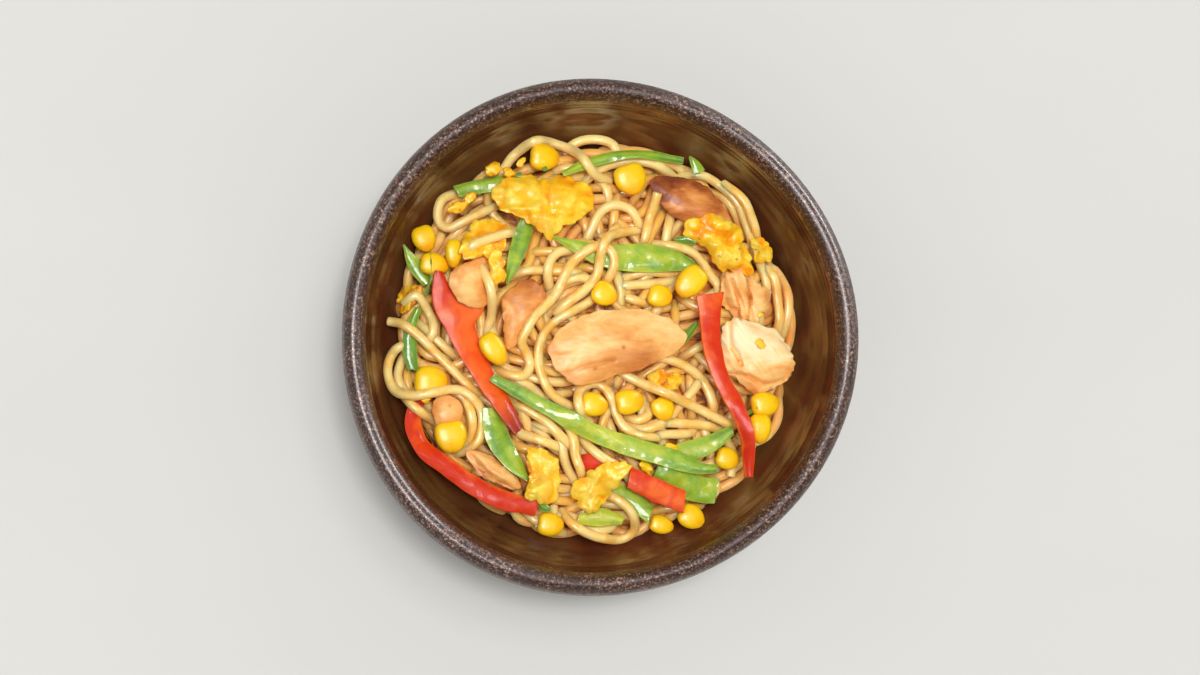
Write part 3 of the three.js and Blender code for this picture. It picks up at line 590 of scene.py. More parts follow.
def bowl_finish(settings):
    """Amber glaze with olive and rust streaks inside, speckled clay on the lip and outside."""
    finish = Finish("bowl_glaze")
    inside = finish.unsteady(finish.attribute("inside"), 0.3, finish.noise(2.5))
    thin = finish.times(finish.span(inside, 0.2, 0.45), finish.span(inside, 0.55, 0.9, 1, 0))
    inside = finish.span(inside, 0.35, 0.65)
    glaze = finish.ramp(
        finish.noise(60, 2, (1, 1, 0.22), distortion=0.6),
        (0.36, paint(66, 38, 22)), (0.46, settings.glaze), (0.57, settings.glaze_streak),
        (0.66, paint(84, 50, 28)),
    )
    patches = finish.span(finish.noise(40, 2, (1, 1, 0.7), distortion=0.8, shift=3), 0.45, 0.7, 0, 0.8)
    glaze = finish.blend(patches, glaze, paint(100, 48, 26))
    high = finish.unsteady(finish.height(), 2.5 * MM, finish.noise(9))
    glaze = finish.blend(finish.span(high, 52 * MM, 60 * MM), glaze, settings.glaze_thin)
    clay = finish.ramp(
        finish.noise(0.9, 4, roughness=0.8),
        (0.39, paint(14, 8, 6)), (0.47, settings.clay), (0.55, paint(86, 52, 38)), (0.62, settings.fleck),
    )
    clay = finish.blend(finish.span(finish.noise(9, 3), 0.4, 0.65, 0, 0.6), clay, paint(48, 20, 12))
    grit = finish.bump(finish.noise(0.8, 3, roughness=0.75), 0.3, 1)
    ripples = finish.bump(finish.noise(14, 2), 0.12, 0.5)
    normal = finish.node("ShaderNodeMix", {0: inside, 4: grit, 5: ripples}, data_type="VECTOR").outputs[1]
    rough = finish.unsteady(finish.span(inside, 0, 1, 0.34, 0.2), 0.06, finish.noise(2))
    colour = finish.blend(finish.times(thin, 0.7), finish.blend(inside, clay, glaze), paint(112, 50, 26))
    finish.set(Base_Color=colour, Roughness=rough, Normal=normal, Specular_IOR_Level=0.22)
    return finish.set(Coat_Weight=finish.span(inside, 0, 1, 0.14, 0.7), Coat_Roughness=0.18, Coat_IOR=1.6)


def noodle_finish(settings):
    """Soft wheat noodles with a film of oil, browner deep in the heap as sauce and painted shade, and on the
    heap's right side as painted shade.
    """
    finish = Finish("noodle")
    deep = finish.unsteady(finish.attribute("depth"), 0.16, finish.noise(9, 3))
    tone = finish.unsteady(finish.attribute("tone"), 0.35, finish.noise(5, 3, distortion=0.5))
    colour = finish.blend(finish.span(tone, 0.2, 0.9), settings.pale, settings.golden)
    # Deep noodles take the darker colour: sauce and painted shade.
    colour = finish.blend(finish.span(deep, 0.25, 0.95), colour, settings.sauced_and_shaded)
    flecks = finish.span(finish.noise(1.6, 3, roughness=0.7), 0.68, 0.76, 0, 0.4)
    colour = finish.blend(flecks, colour, paint(160, 96, 40))
    normal = finish.bump(finish.noise(0.9, 3), 0.05, 0.5, finish.bump(finish.noise(2.8, 2), 0.16, 0.6))
    rough = finish.span(finish.noise(2.4, 2), 0.35, 0.65, 0.36, 0.52)
    finish.juicy(4, 0.75, (1, 0.7, 0.4))
    finish.set(Sheen_Weight=0.3, Sheen_Roughness=0.4, Sheen_Tint=(*paint(255, 214, 150), 1))
    finish.set(Base_Color=colour, Normal=normal, Roughness=rough, Specular_IOR_Level=0.22)
    return finish.set(Coat_Weight=0.14, Coat_Roughness=0.18)


def bed_finish(settings):
    """What shows between the noodles: more of them, painted darker brown as the shade between them and as
    sauce.
    """
    finish = Finish("noodle_bed")
    tangle = finish.noise(5, 2, (3, 1, 1), distortion=2.5)
    # Darker browns stand for the shade between the noodles, and for sauce.
    colour = finish.ramp(
        tangle, (0.35, paint(146, 82, 30)), (0.5, paint(200, 126, 52)), (0.62, settings.sauced_and_shaded),
    )
    normal = finish.bump(tangle, 1.4)
    return finish.set(Base_Color=colour, Roughness=0.5, Normal=normal, Specular_IOR_Level=0.2)


def corn_finish(settings):
    finish = Finish("corn")
    root = finish.unsteady(finish.attribute("root"), 0.15, finish.noise(3, 2))
    colour = finish.blend(finish.span(root, 0.35, 0.95), settings.corn, settings.corn_root)
    patches = finish.span(finish.noise(2.6, 2, shift=4), 0.55, 0.75, 0, 0.4)
    colour = finish.blend(patches, colour, paint(255, 210, 40))
    normal = finish.bump(finish.noise(2, 2), 0.2, 0.5, finish.bump(finish.noise(0.7, 2), 0.04, 0.5))
    finish.juicy(2.4, 0.4, (1, 0.7, 0.1))
    finish.set(Base_Color=colour, Normal=normal, Roughness=0.4, Specular_IOR_Level=0.16)
    return finish.set(Coat_Weight=0.08, Coat_Roughness=0.14)


def egg_finish(settings):
    """Scrambled egg: pale crests as painted highlight, orange folds as painted shade, and a few browned
    spots.
    """
    finish = Finish("egg")
    crest_light_and_tone = finish.unsteady(finish.attribute("crest_light_and_tone"), 0.22, finish.noise(3.5, 4))
    # Crests paler as painted highlight, folds deeper orange as painted shade.
    colour = finish.ramp(
        crest_light_and_tone, (0.1, settings.egg_deep_and_fold_shade), (0.4, settings.egg), (0.7, paint(255, 204, 48)),
        (0.95, settings.egg_crest_highlight),
    )
    patches = finish.span(finish.noise(11, 3, shift=2), 0.5, 0.68, 0, 0.5)
    colour = finish.blend(patches, colour, settings.egg_deep_and_fold_shade)
    toast = finish.sum(finish.noise(2.4, 3, shift=7), finish.times(finish.attribute("toast"), 0.24))
    colour = finish.blend(finish.span(toast, 0.72, 0.82, 0, 0.75), colour, paint(190, 110, 32))
    coarse = finish.bump(finish.noise(1.8, 3, distortion=0.4), 0.14, 0.6)
    normal = finish.bump(finish.noise(0.7, 3), 0.05, 0.5, coarse)
    finish.juicy(2.2, 0.35, (1, 0.6, 0.1))
    finish.set(Base_Color=colour, Normal=normal, Roughness=0.42, Specular_IOR_Level=0.16)
    return finish.set(Coat_Weight=0.06, Coat_Roughness=0.2)


def chicken_finish(name, settings, turn):
    """Cooked chicken whose fibres run at a given turn, from white to browned by its attribute, which also
    carries painted shade in its creases and folds.
    """
    finish = Finish(name)
    fibre = finish.noise(1.2, 4, (5, 1, 1), turn, roughness=0.6, distortion=0.7)
    broad = finish.noise(8, 4, (1.6, 1, 1), turn, distortion=0.5, shift=2)
    brown = finish.unsteady(finish.attribute("brown"), 0.16, broad)
    brown = finish.sum(brown, finish.span(fibre, 0.3, 0.7, -0.03, 0.04))
    colour = finish.ramp(
        brown, (0.02, settings.chicken_white), (0.28, paint(249, 204, 130)), (0.52, settings.chicken_peach),
        (0.7, paint(212, 134, 66)), (0.86, settings.chicken_brown), (1, paint(124, 60, 28)),
    )
    normal = finish.bump(fibre, 0.11, 0.5, finish.bump(finish.noise(2.6, 3, (1.6, 1, 1), turn), 0.25, 0.5))
    rough = finish.span(finish.noise(3, 2, shift=5), 0.35, 0.65, 0.34, 0.55)
    finish.juicy(2.2, 0.3, (1, 0.6, 0.35))
    return finish.set(Base_Color=colour, Normal=normal, Roughness=rough, Specular_IOR_Level=0.12)


def pepper_finish(settings):
    """Red pepper: satin skin, paler flesh at its cut sides, and painted shade darkening its ends."""
    finish = Finish("pepper")
    flesh = finish.unsteady(finish.attribute("flesh"), 0.25, finish.noise(6, 4, distortion=0.6))
    colour = finish.blend(finish.span(flesh, 0.1, 0.9), settings.pepper, settings.pepper_flesh)
    colour = finish.blend(finish.times(finish.attribute("side"), 0.5), colour, settings.pepper_flesh)
    # The ends are darkened: painted shade.
    colour = finish.blend(finish.span(finish.attribute("end"), 0.15, 1, 0, 0.85), colour, paint(140, 34, 14))
    normal = finish.bump(finish.noise(1.3, 3), 0.07, 0.6, finish.bump(finish.noise(4, 3), 0.3, 0.6))
    rough = finish.span(finish.noise(3, 2, shift=4), 0.4, 0.6, 0.4, 0.56)
    finish.juicy(1.8, 0.2, (1, 0.3, 0.05))
    finish.set(Base_Color=colour, Normal=normal, Roughness=rough, Specular_IOR_Level=0.08)
    return finish.set(Coat_Weight=0.07, Coat_Roughness=0.1)


def pod_finish(settings):
    """Green pea pod: soft stripes along it, pale cut sides and a wet, blotchy shine."""
    finish = Finish("pod")
    tone = finish.unsteady(finish.attribute("tone"), 0.25, finish.noise(7, 4, distortion=0.8))
    colour = finish.ramp(tone, (0, settings.pod_dark), (0.4, settings.pod), (0.95, settings.pod_light))
    colour = finish.blend(finish.times(finish.attribute("side"), 0.55), colour, paint(182, 206, 84))
    coarse = finish.bump(finish.noise(2.1, 3, roughness=0.6), 0.34, 0.8)
    normal = finish.bump(finish.noise(0.9, 3), 0.11, 0.7, coarse)
    rough = finish.span(finish.noise(1.8, 2, shift=3), 0.4, 0.6, 0.35, 0.55)
    finish.juicy(1.6, 0.25, (0.6, 1, 0.2))
    finish.set(Base_Color=colour, Normal=normal, Roughness=rough, Specular_IOR_Level=0.2)
    return finish.set(Coat_Weight=0.35, Coat_Roughness=0.08)


def floor_finish(settings):
    finish = Finish("floor")
    shade = [0.97 * part for part in settings.floor]
    colour = finish.ramp(finish.noise(90, 3, (3, 1, 1)), (0.3, shade), (0.7, settings.floor))
    return finish.set(Base_Color=colour, Roughness=0.8, Specular_IOR_Level=0.08)


# ---------------------------------------------------------------- rules for noodles and bowl


def noodle_rule():
    """Sweeps an oval section along every line, a little thicker here and thinner there."""
    rule = Rule(
        "swept_noodles", Width=float, Height=float, Step=float, Sides=int, Uneven=float, Wave=float,
        Material=bpy.types.Material,
    )
    given = rule.given
    lines = rule.node("GeometryNodeMeshToCurve", {"Mesh": given["Geometry"]})
    inputs = {"Curve": lines.outputs[0], "Length": given["Step"]}
    even = rule.node("GeometryNodeResampleCurve", inputs, mode="LENGTH")
    upright = rule.node("GeometryNodeSetCurveNormal", {"Curve": even.outputs[0]}, mode="Z_UP")
    inputs = {"Resolution": given["Sides"], "Radius": 0.5}
    ring = rule.node("GeometryNodeCurvePrimitiveCircle", inputs, mode="RADIUS")
    size = rule.node("ShaderNodeCombineXYZ", {"X": given["Height"], "Y": given["Width"], "Z": 1})
    section = rule.node("GeometryNodeTransform", {"Geometry": ring.outputs[0], "Scale": size.outputs[0]})
    place = rule.node("GeometryNodeInputPosition").outputs[0]
    scale = rule.math("DIVIDE", 1, given["Wave"])
    noise = rule.node("ShaderNodeTexNoise", {"Vector": place, "Scale": scale, "Detail": 1}).outputs["Fac"]
    swell = rule.times(rule.less(noise, 0.5), given["Uneven"])
    inputs = {"Curve": upright.outputs[0], "Profile Curve": section.outputs[0], "Fill Caps": True}
    tube = rule.node("GeometryNodeCurveToMesh", {**inputs, "Scale": rule.sum(1, swell)})
    rule.close(tube.outputs[0])
    return rule


def bowl_rule():
    """Turns a profile round the axis, on an outline that is a little out of round, with rings in the wall."""
    rule = Rule(
        "thrown_bowl", Sides=int, Sway=float, Lobes=float, Turn=float, Rings=float, Spacing=float,
        Material=bpy.types.Material,
    )
    given, times, profile = rule.given, rule.times, rule.given["Geometry"]
    rows = rule.node("GeometryNodeAttributeDomainSize", {"Geometry": profile}).outputs["Point Count"]
    grid = rule.node("GeometryNodeMeshGrid", {"Vertices X": rule.sum(given["Sides"], 1), "Vertices Y": rows})
    index = rule.node("GeometryNodeInputIndex").outputs[0]
    column = rule.math("FLOOR", rule.math("DIVIDE", rule.sum(index, 0.5), rows))
    row = rule.less(index, times(column, rows))
    angle = rule.math("DIVIDE", times(column, 2 * math.pi), given["Sides"])

    def of_row(value, kind):
        inputs = {"Geometry": profile, "Value": value, "Index": row}
        return rule.node("GeometryNodeSampleIndex", inputs, data_type=kind, domain="POINT").outputs[0]

    def swell(at):
        lobe = times(given["Lobes"], rule.less(at, given["Turn"]))
        return times(given["Sway"], rule.math("COSINE", lobe))

    spot = of_row(rule.node("GeometryNodeInputPosition").outputs[0], "FLOAT_VECTOR")
    named = rule.node("GeometryNodeInputNamedAttribute", {"Name": "inside"}, data_type="FLOAT")
    inside = of_row(named.outputs[0], "FLOAT")
    out, _, up = rule.node("ShaderNodeSeparateXYZ", {0: spot}).outputs
    wave = rule.math("SINE", rule.math("DIVIDE", times(up, 2 * math.pi), given["Spacing"]))
    fade = times(rule.math("MINIMUM", times(out, 20), 1), given["Rings"])
    radius = rule.sum(out, times(wave, times(fade, 0.5)))
    stretch = rule.sum(1, swell(angle))
    x, y = (
        times(radius, rule.less(times(stretch, rule.math(way, angle)), swell(middle)))
        for way, middle in (("COSINE", 0), ("SINE", math.pi / 2))
    )
    there = rule.node("ShaderNodeCombineXYZ", {"X": x, "Y": y, "Z": up}).outputs[0]
    inputs = {"Geometry": grid.outputs[0], "Name": "inside", "Value": inside}
    stored = rule.node("GeometryNodeStoreNamedAttribute", inputs, data_type="FLOAT", domain="POINT")
    thrown = rule.node("GeometryNodeSetPosition", {"Geometry": stored.outputs[0], "Position": there})
    inputs = {"Geometry": thrown.outputs[0], "Distance": 0.01 * MM}
    rule.close(rule.node("GeometryNodeMergeByDistance", inputs).outputs[0])
    return rule


def line_mesh(name, lines, attributes):
    """Separate lines of points as one mesh of edges. An attribute holds one run of values a line."""
    points = np.vstack(lines)
    ends = np.cumsum([len(line) for line in lines])
    edges = np.column_stack([np.arange(len(points) - 1), np.arange(1, len(points))])
    edges = edges[~np.isin(edges[:, 1], ends)]
    mesh = bpy.data.meshes.new(name)
    mesh.from_pydata((points * MM).tolist(), edges.tolist(), [])
    for key, runs in attributes.items():
        store(mesh, key, np.concatenate(runs))
    return mesh


# ---------------------------------------------------------------- the bowl

FOOT = {"radius": 35, "width": 4.5, "bevel": 0.8, "recess": 3}
LIP = {"inner": 70.4, "outer": 77.5, "base": 58, "height": 8}
SWAY = {"share": 0.009, "lobes": 3, "turn": math.radians(-4)}
RING_SPACING = 4.4


def bowl_profile():
    """Radius and height from under the foot, over the lip, to the middle of the floor, and what is inside."""
    outer, recess = FOOT["radius"], FOOT["recess"]
    inner = outer - FOOT["width"]
    foot = np.vstack([
        curve_through([(0, recess), (inner, recess)], 3),
        curve_through([(inner + 0.1, recess - 0.3), (inner + FOOT["bevel"], 0)], 1),
        curve_through([(inner + FOOT["bevel"] + 0.5, 0), (outer - 0.5, 0)], 1.5),
        [(outer - 0.1, 0.25), (outer, 1), (outer + 0.2, 3)],
    ])
    outside = curve_through(OUTSIDE, 1.2)
    angles = np.linspace(0, math.pi, 22)[1:-1]
    middle, half = (LIP["inner"] + LIP["outer"]) / 2, (LIP["outer"] - LIP["inner"]) / 2
    lip = np.column_stack([middle + half * np.cos(angles), LIP["base"] + LIP["height"] * np.sin(angles)])
    inside = curve_through(INSIDE, 1.2)
    glazed = np.clip((angles - 2.6) / 0.45, 0, 1)
    share = np.r_[np.zeros(len(foot) + len(outside)), glazed, np.ones(len(inside))]
    return np.vstack([foot, outside, lip, inside]), share


class YAKISOBA_OT_bowl(bpy.types.Operator):
    """Throws the bowl: a fine skin over the same profile as the solid"""

    bl_idname = "yakisoba.bowl"
    bl_label = "Bowl"

    def execute(self, context):
        settings = context.scene.yakisoba_bowl
        points, share = bowl_profile()
        flat = np.insert(points, 1, 0, axis=1)
        lines = line_mesh("bowl_profile", [flat], {"inside": [share]})
        made = bowl_rule().make(
            "glazed_bowl", lines, Sides=settings.sides, Rings=settings.ring_height, Spacing=RING_SPACING * MM,
            Sway=SWAY["share"], Lobes=float(SWAY["lobes"]), Turn=SWAY["turn"], Material=bowl_finish(settings),
        )
        settle(made, "bowl_glaze", "bowl")
        return {"FINISHED"}


# ---------------------------------------------------------------- noodles

TOPPINGS = sorted(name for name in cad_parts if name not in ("bowl", "noodles"))

# The noodles on top, from the lowest to the highest: the toppings that each crosses over, and its way in
# millimetres. It goes under every other topping on its way.
TOP_NOODLES = [
    ((), [(13, 55.5), (19, 55), (24.5, 54), (27.5, 52)]),
    ((), [(-9.5, 57.5), (-7, 60.5), (-3, 62), (1.5, 62), (5, 60.5), (7, 57)]),
    ((), [(-4.5, 48), (0.5, 52), (5, 54), (11, 55), (17.5, 54), (21.5, 52), (25, 50)]),
    ((), [(25.5, 50.5), (31, 51), (36, 49.5), (40, 46.5), (43.5, 42.5), (45.5, 38), (47, 34), (48.5, 28.5),
        (50.5, 23.5), (52, 18), (52.5, 12)]),
    ((), [(39.5, 48.5), (45, 43), (47.5, 38), (49, 34), (50.5, 28.5)]),
    ((), [(51.5, 23), (55.5, 21.5), (58, 17.5), (59, 12), (58.5, 6.5), (57, 1)]),
    ((), [(51.5, 23.5), (54.5, 18.5), (55.5, 12.5), (56, 6.5), (55, 1)]),
    ((), [(56.5, -17.5), (56, -24), (54, -27.5), (51, -30), (47, -31), (43, -30)]),
    ((), [(40, -29.5), (42, -35.5), (41, -41.5)]),
    ((), [(0.5, 49), (3, 46), (3.5, 42)]),
    ((), [(5.5, 23), (6, 18), (7, 14), (6.5, 9.5)]),
    ((), [(7.5, 18.5), (14, 20.5), (20, 20.5), (24.5, 20.5)]),
    ((), [(6.5, 16), (12, 16.5), (18.5, 17), (23.5, 18)]),
    ((), [(7.5, 13), (12, 11.5), (17, 10.5)]),
    ((), [(-12, 16), (-8.5, 18), (-4.5, 18.5), (-1, 17)]),
    ((), [(-27, 19), (-20, 20.8), (-13, 20.5), (-6, 20)]),
    ((), [(-30, -9.5), (-25, -12.5), (-20, -15), (-15.5, -19)]),
    ((), [(-24.5, -24), (-23.5, -28.5), (-18, -30.5), (-11.5, -33)]),
    ((), [(17, 29.5), (23, 28.5), (28.5, 27), (32, 24), (34.5, 20), (37, 16.5), (36, 13.5)]),
    ((), [(-25.5, -19.5), (-20.5, -22), (-15.5, -25.5), (-11.5, -29.5), (-7.5, -33)]),
    (("pepper_bit_front",), [(-18, -22), (-12.5, -24), (-9, -27), (-7.5, -31), (-7, -35.5), (-5.5, -39.5),
        (-3, -44)]),
    (("pepper_bit_front",), [(-5.5, -28.5), (-3, -32.5), (1, -36), (5.5, -38.5), (10, -42.5)]),
    ((), [(9.5, -5.5), (17, -5.5), (24, -7), (29.5, -10), (33, -14), (35, -19), (35.5, -23.5)]),
    ((), [(12.5, -31), (20, -29), (27.5, -28.5), (30.5, -26.5)]),
    ((), [(12.5, -27.5), (18.5, -25.5), (26, -25.5), (32.5, -26), (38.5, -27.5)]),
    ((), [(31.5, -12), (28.5, -16), (25, -20), (22, -23.5), (18, -26.3), (13, -27.4), (8, -26)]),
    ((), [(14, -19), (15.5, -22.5), (12.5, -24.5), (8.5, -23.5)]),
    ((), [(6.5, -53.5), (4.5, -57), (0, -58), (-4.5, -56)]),
    ((), [(-16.5, -49.5), (-16.5, -53), (-15, -56.5)]),
    ((), [(-13, -50.5), (-12.5, -54), (-13.5, -57.5), (-9.5, -58.5)]),
    ((), [(-30, 41.5), (-34.5, 39), (-40.5, 36), (-45, 34), (-48, 35.5), (-48.5, 39.5), (-47, 43),
        (-43, 45), (-41, 45.5)]),
    ((), [(-3.5, 30), (-1.5, 34.5), (1, 39), (5, 41), (9.5, 40), (12, 37), (13.5, 33)]),
    (("chicken_slice_back",), [(18, 44.5), (17, 40.5), (15.5, 35.5), (14, 28)]),
    (("egg_curd_left",), [(-41, 25), (-38.5, 27.5), (-34.5, 29.3), (-29.5, 31), (-24, 33), (-19.5, 35)]),
    (("chicken_slice_left", "egg_fringe_left"), [(-35.5, 21), (-33.5, 16), (-32.5, 11), (-32.5, 6),
        (-34, 2)]),
    ((), [(-3, 28), (-8.5, 27), (-12.5, 26), (-15, 23), (-15.5, 19), (-14.5, 15)]),
    (("egg_bit_left", "pod_end_left"), [(-58.5, 11), (-55, 13), (-52, 9.5), (-50, 5.5), (-50, 1.5),
        (-52, -1)]),
    (("pod_end_left",), [(-63.5, 5.5), (-59.5, 4.5), (-54, 0.5), (-49, -4.5), (-44, -9.5), (-39.5, -14),
        (-35, -17.5)]),
    ((), [(-58, -4), (-59.5, -7), (-60.5, -11), (-59, -15), (-56, -16.5)]),
    (("chicken_cube_left",), [(-43.5, -16), (-40.5, -18), (-38.5, -22.5), (-38, -27.5), (-39, -31),
        (-41.5, -33)]),
    (("pepper_arc_left",), [(-59.5, -16), (-56.5, -20), (-52.5, -23), (-48.5, -25)]),
    (("pod_end_left", "corn_04", "chicken_cube_left", "pepper_arc_left"),
        [(-58, -1.5), (-61.5, -3.5), (-63.5, -8), (-63, -13), (-60.5, -16.5), (-55.5, -17.5),
        (-49.5, -16.5), (-44.5, -15.5), (-40, -16.5), (-36, -20.5), (-35, -25.5), (-36, -30.5),
        (-39, -33.5), (-42.5, -34.5)]),
    (("chicken_slice_middle", "pod_leaf_center"), [(-31, -9), (-27.5, -11), (-23, -11.5), (-20.8, -8.5),
        (-21.6, -5), (-23.5, -1.5), (-22, 2.5), (-19.5, 6.5), (-16, 10), (-12.5, 14.5), (-10.5, 19),
        (-8, 23), (-4, 26.4), (0.2, 28), (3.6, 26.4), (4.6, 22.5), (3, 18.5), (0.5, 15), (-2.5, 11.5),
        (-7.5, 8.5), (-12, 6), (-15.5, 3), (-17.8, -1.5), (-18.2, -7), (-17, -12), (-14.5, -16.5),
        (-10.5, -19.5), (-6, -21.5)]),
    (("pod_leaf_center",), [(12.5, 33.5), (7, 32.5), (2.5, 30.5), (0.5, 26.5), (0, 22.5), (-1, 18.5),
        (-4, 15), (-8.5, 11.5), (-13, 8)]),
    (("corn_13",), [(-2.5, -25), (-5.5, -22.5), (-6.5, -18.5), (-5, -15), (-1, -13.5), (2, -15), (4, -18.5),
        (5.5, -23), (8, -27), (12.5, -29), (18, -30)]),
    (("egg_bit_center", "corn_15", "pod_half_right"), [(4.5, -8.5), (10, -12), (17, -15.5), (24.5, -18.5),
        (31.5, -21.5), (37.5, -24.5), (41, -26)]),
    (("corn_05", "pod_strip_back"), [(-30, 48.5), (-28.5, 52), (-25.5, 56.5), (-20.5, 60), (-15, 61),
        (-10, 59.5), (-6.5, 57.5), (-3.5, 53), (-0.5, 50), (4, 49)]),
    (("pod_piece_front", "pod_piece_front_right"), [(-0.5, -46), (4, -47.5), (8.5, -50.5), (11, -54),
        (11.5, -58), (8, -60.5), (3, -60.5), (-2.5, -59), (-7.5, -56), (-10.5, -52)]),
]
BARE_ENDS = {(-63.5, 5.5), (18, 44.5), (41, -41.5)}  # where a noodle on top ends in sight
WAY_STEP = 0.8
BED_DEPTH = 6.2  # how far the bed of the heap lies under its surface
BED_SHOULDER = 46  # past this radius the bed falls away
BED_ROWS, BED_SIDES = (34, 16), 120
TIGHTNESS = 0.96  # how wide a noodle counts while it is laid, as a share of its width
SQUEEZE = 0.3  # how much room a noodle may lack before it ends
STIFF_ROUNDS = 14
HEADROOM = 0.15  # between a noodle and the topping over it
FILL_CAP = -0.7  # how far over the heap's surface the middle of a filling noodle may lie
BESIDE_CAP = 0.3  # the same for a noodle beside one on top
END_DIVE, END_RUN = 4, 8  # how far the ends of a noodle sink, over what length
SHORTEST = 12  # the least length of a noodle that is laid under the ones on top
SPACING = 3.3  # between noodles that lie side by side
FILL_LENGTHS, BUNDLES = (45, 110), (2, 5)  # how long the filling noodles are, and how many lie together
FILL_REACH, BESIDE_REACH = 61, 58.5  # how far from the axis they and the noodles beside others may reach
CURL = {"start": 54, "turn_back": 50, "smooth": 24, "bend": 0.055, "lean": 0.05, "steer": 0.03}
SHADED_SIDE, SHADED_SPAN = 49, 8  # where the heap's right side is darkened with painted shade, and over what span
DEEP_FROM, DEEP_SPAN = 1.5, 7  # how far over the heap's surface noodles start to darken with sauce and painted shade, over what depth
# How dark deep noodles are with sauce and painted shade, how golden one may be, how coarse its stretches are,
# and its sides.
UNDERNEATH = {"deep_sauce_and_shade": 0.8, "golden": 1, "coarse": 1.5, "sides": 8}
ON_TOP = {"deep_sauce_and_shade": 0.35, "golden": 0.6, "coarse": 1}
LAID = {}  # the height of the finished heap, for what is strewn over it


def bed_top(x, y, radius):
    return mound_top(x, y) - BED_DEPTH - np.clip(radius - BED_SHOULDER, 0, None) * 0.5


class Heap:
    """Where noodles have been laid so far, and what they may not touch."""

    def __init__(self, radius):
        cells = math.ceil(radius / CELL)
        i, j = (part.ravel() for part in np.mgrid[-cells : cells + 1, -cells : cells + 1])
        away = np.hypot(i, j) * CELL
        near = away < radius
        self.i, self.j = i[near], j[near]
        self.rise = np.sqrt(radius**2 - away[near] ** 2)
        self.floor = np.maximum(bed_top(EAST, NORTH, np.hypot(EAST, NORTH)), wall_height(EAST, NORTH))
        self.ceiling = np.full((SIDE, SIDE), np.inf)
        for node in TOPPINGS:
            cover_of(node).press(self.ceiling)

    def around(self, points):
        """The cells that a noodle covers at each of its points."""
        cells = cells_of(points[:, :1]) + self.i, cells_of(points[:, 1:2]) + self.j
        return tuple(np.clip(part, 0, SIDE - 1) for part in cells)

    def least(self, points, floor):
        return (floor[self.around(points)] + self.rise).max(1)

    def most(self, points, ceiling):
        return (ceiling[self.around(points)] - self.rise).min(1) - HEADROOM

    def lay(self, points, heights):
        np.maximum.at(self.floor, self.around(points), heights[:, None] + self.rise)


def draped(least, most):
    """Heights of a limp strand over what it lies on, under what lies on it."""
    heights = np.minimum(least, most)
    for _ in range(STIFF_ROUNDS):
        padded = with_ends(heights)
        mean = (padded[:-2] + padded[1:-1] + padded[2:]) / 3
        heights = np.minimum(np.maximum(mean, least), most)
    for _ in range(3):
        heights = eased(with_ends(heights))
    return heights


def sinking(gone):
    """How far a noodle has sunk towards its end."""
    return END_DIVE * (1 - np.clip(gone / END_RUN, 0, 1)) ** 2


def wander(chance, length):
    """A loose curl that stays in the bowl, as flat points a millimetre apart."""
    out = CURL["start"] * math.sqrt(chance.uniform(0, 1))
    at = chance.uniform(0, 2 * math.pi)
    spot = np.array([out * math.cos(at), out * math.sin(at)])
    way = chance.uniform(0, 2 * math.pi)
    window = np.ones(CURL["smooth"]) / CURL["smooth"] ** 0.5
    bends = np.convolve(chance.normal(0, 1, length + CURL["smooth"]), window, "valid") * CURL["bend"]
    bends += chance.uniform(-CURL["lean"], CURL["lean"])
    points = [spot.copy()]
    for bend in bends[:length]:
        past = np.hypot(*spot) - CURL["turn_back"]
        off = way - math.atan2(spot[1], spot[0])
        if past > 0 and math.cos(off) > -0.2:
            bend += math.copysign(CURL["steer"] * past, math.sin(off))
        way += bend
        spot = spot + (math.cos(way), math.sin(way))
        points.append(spot.copy())
    return np.array(points)


def shifted(points, offset, chance):
    """A noodle beside another one, now nearer and now further from it."""
    tangent = np.gradient(points, axis=0)
    tangent /= np.linalg.norm(tangent, axis=1, keepdims=True)
    drift = offset + 1.4 * mottle(points[:, 0], points[:, 1], chance.uniform(0, 50), 9, 8)
    moved = points + np.column_stack([-tangent[:, 1], tangent[:, 0]]) * drift[:, None]
    for _ in range(6):
        moved[1:-1] = eased(moved)
    return moved


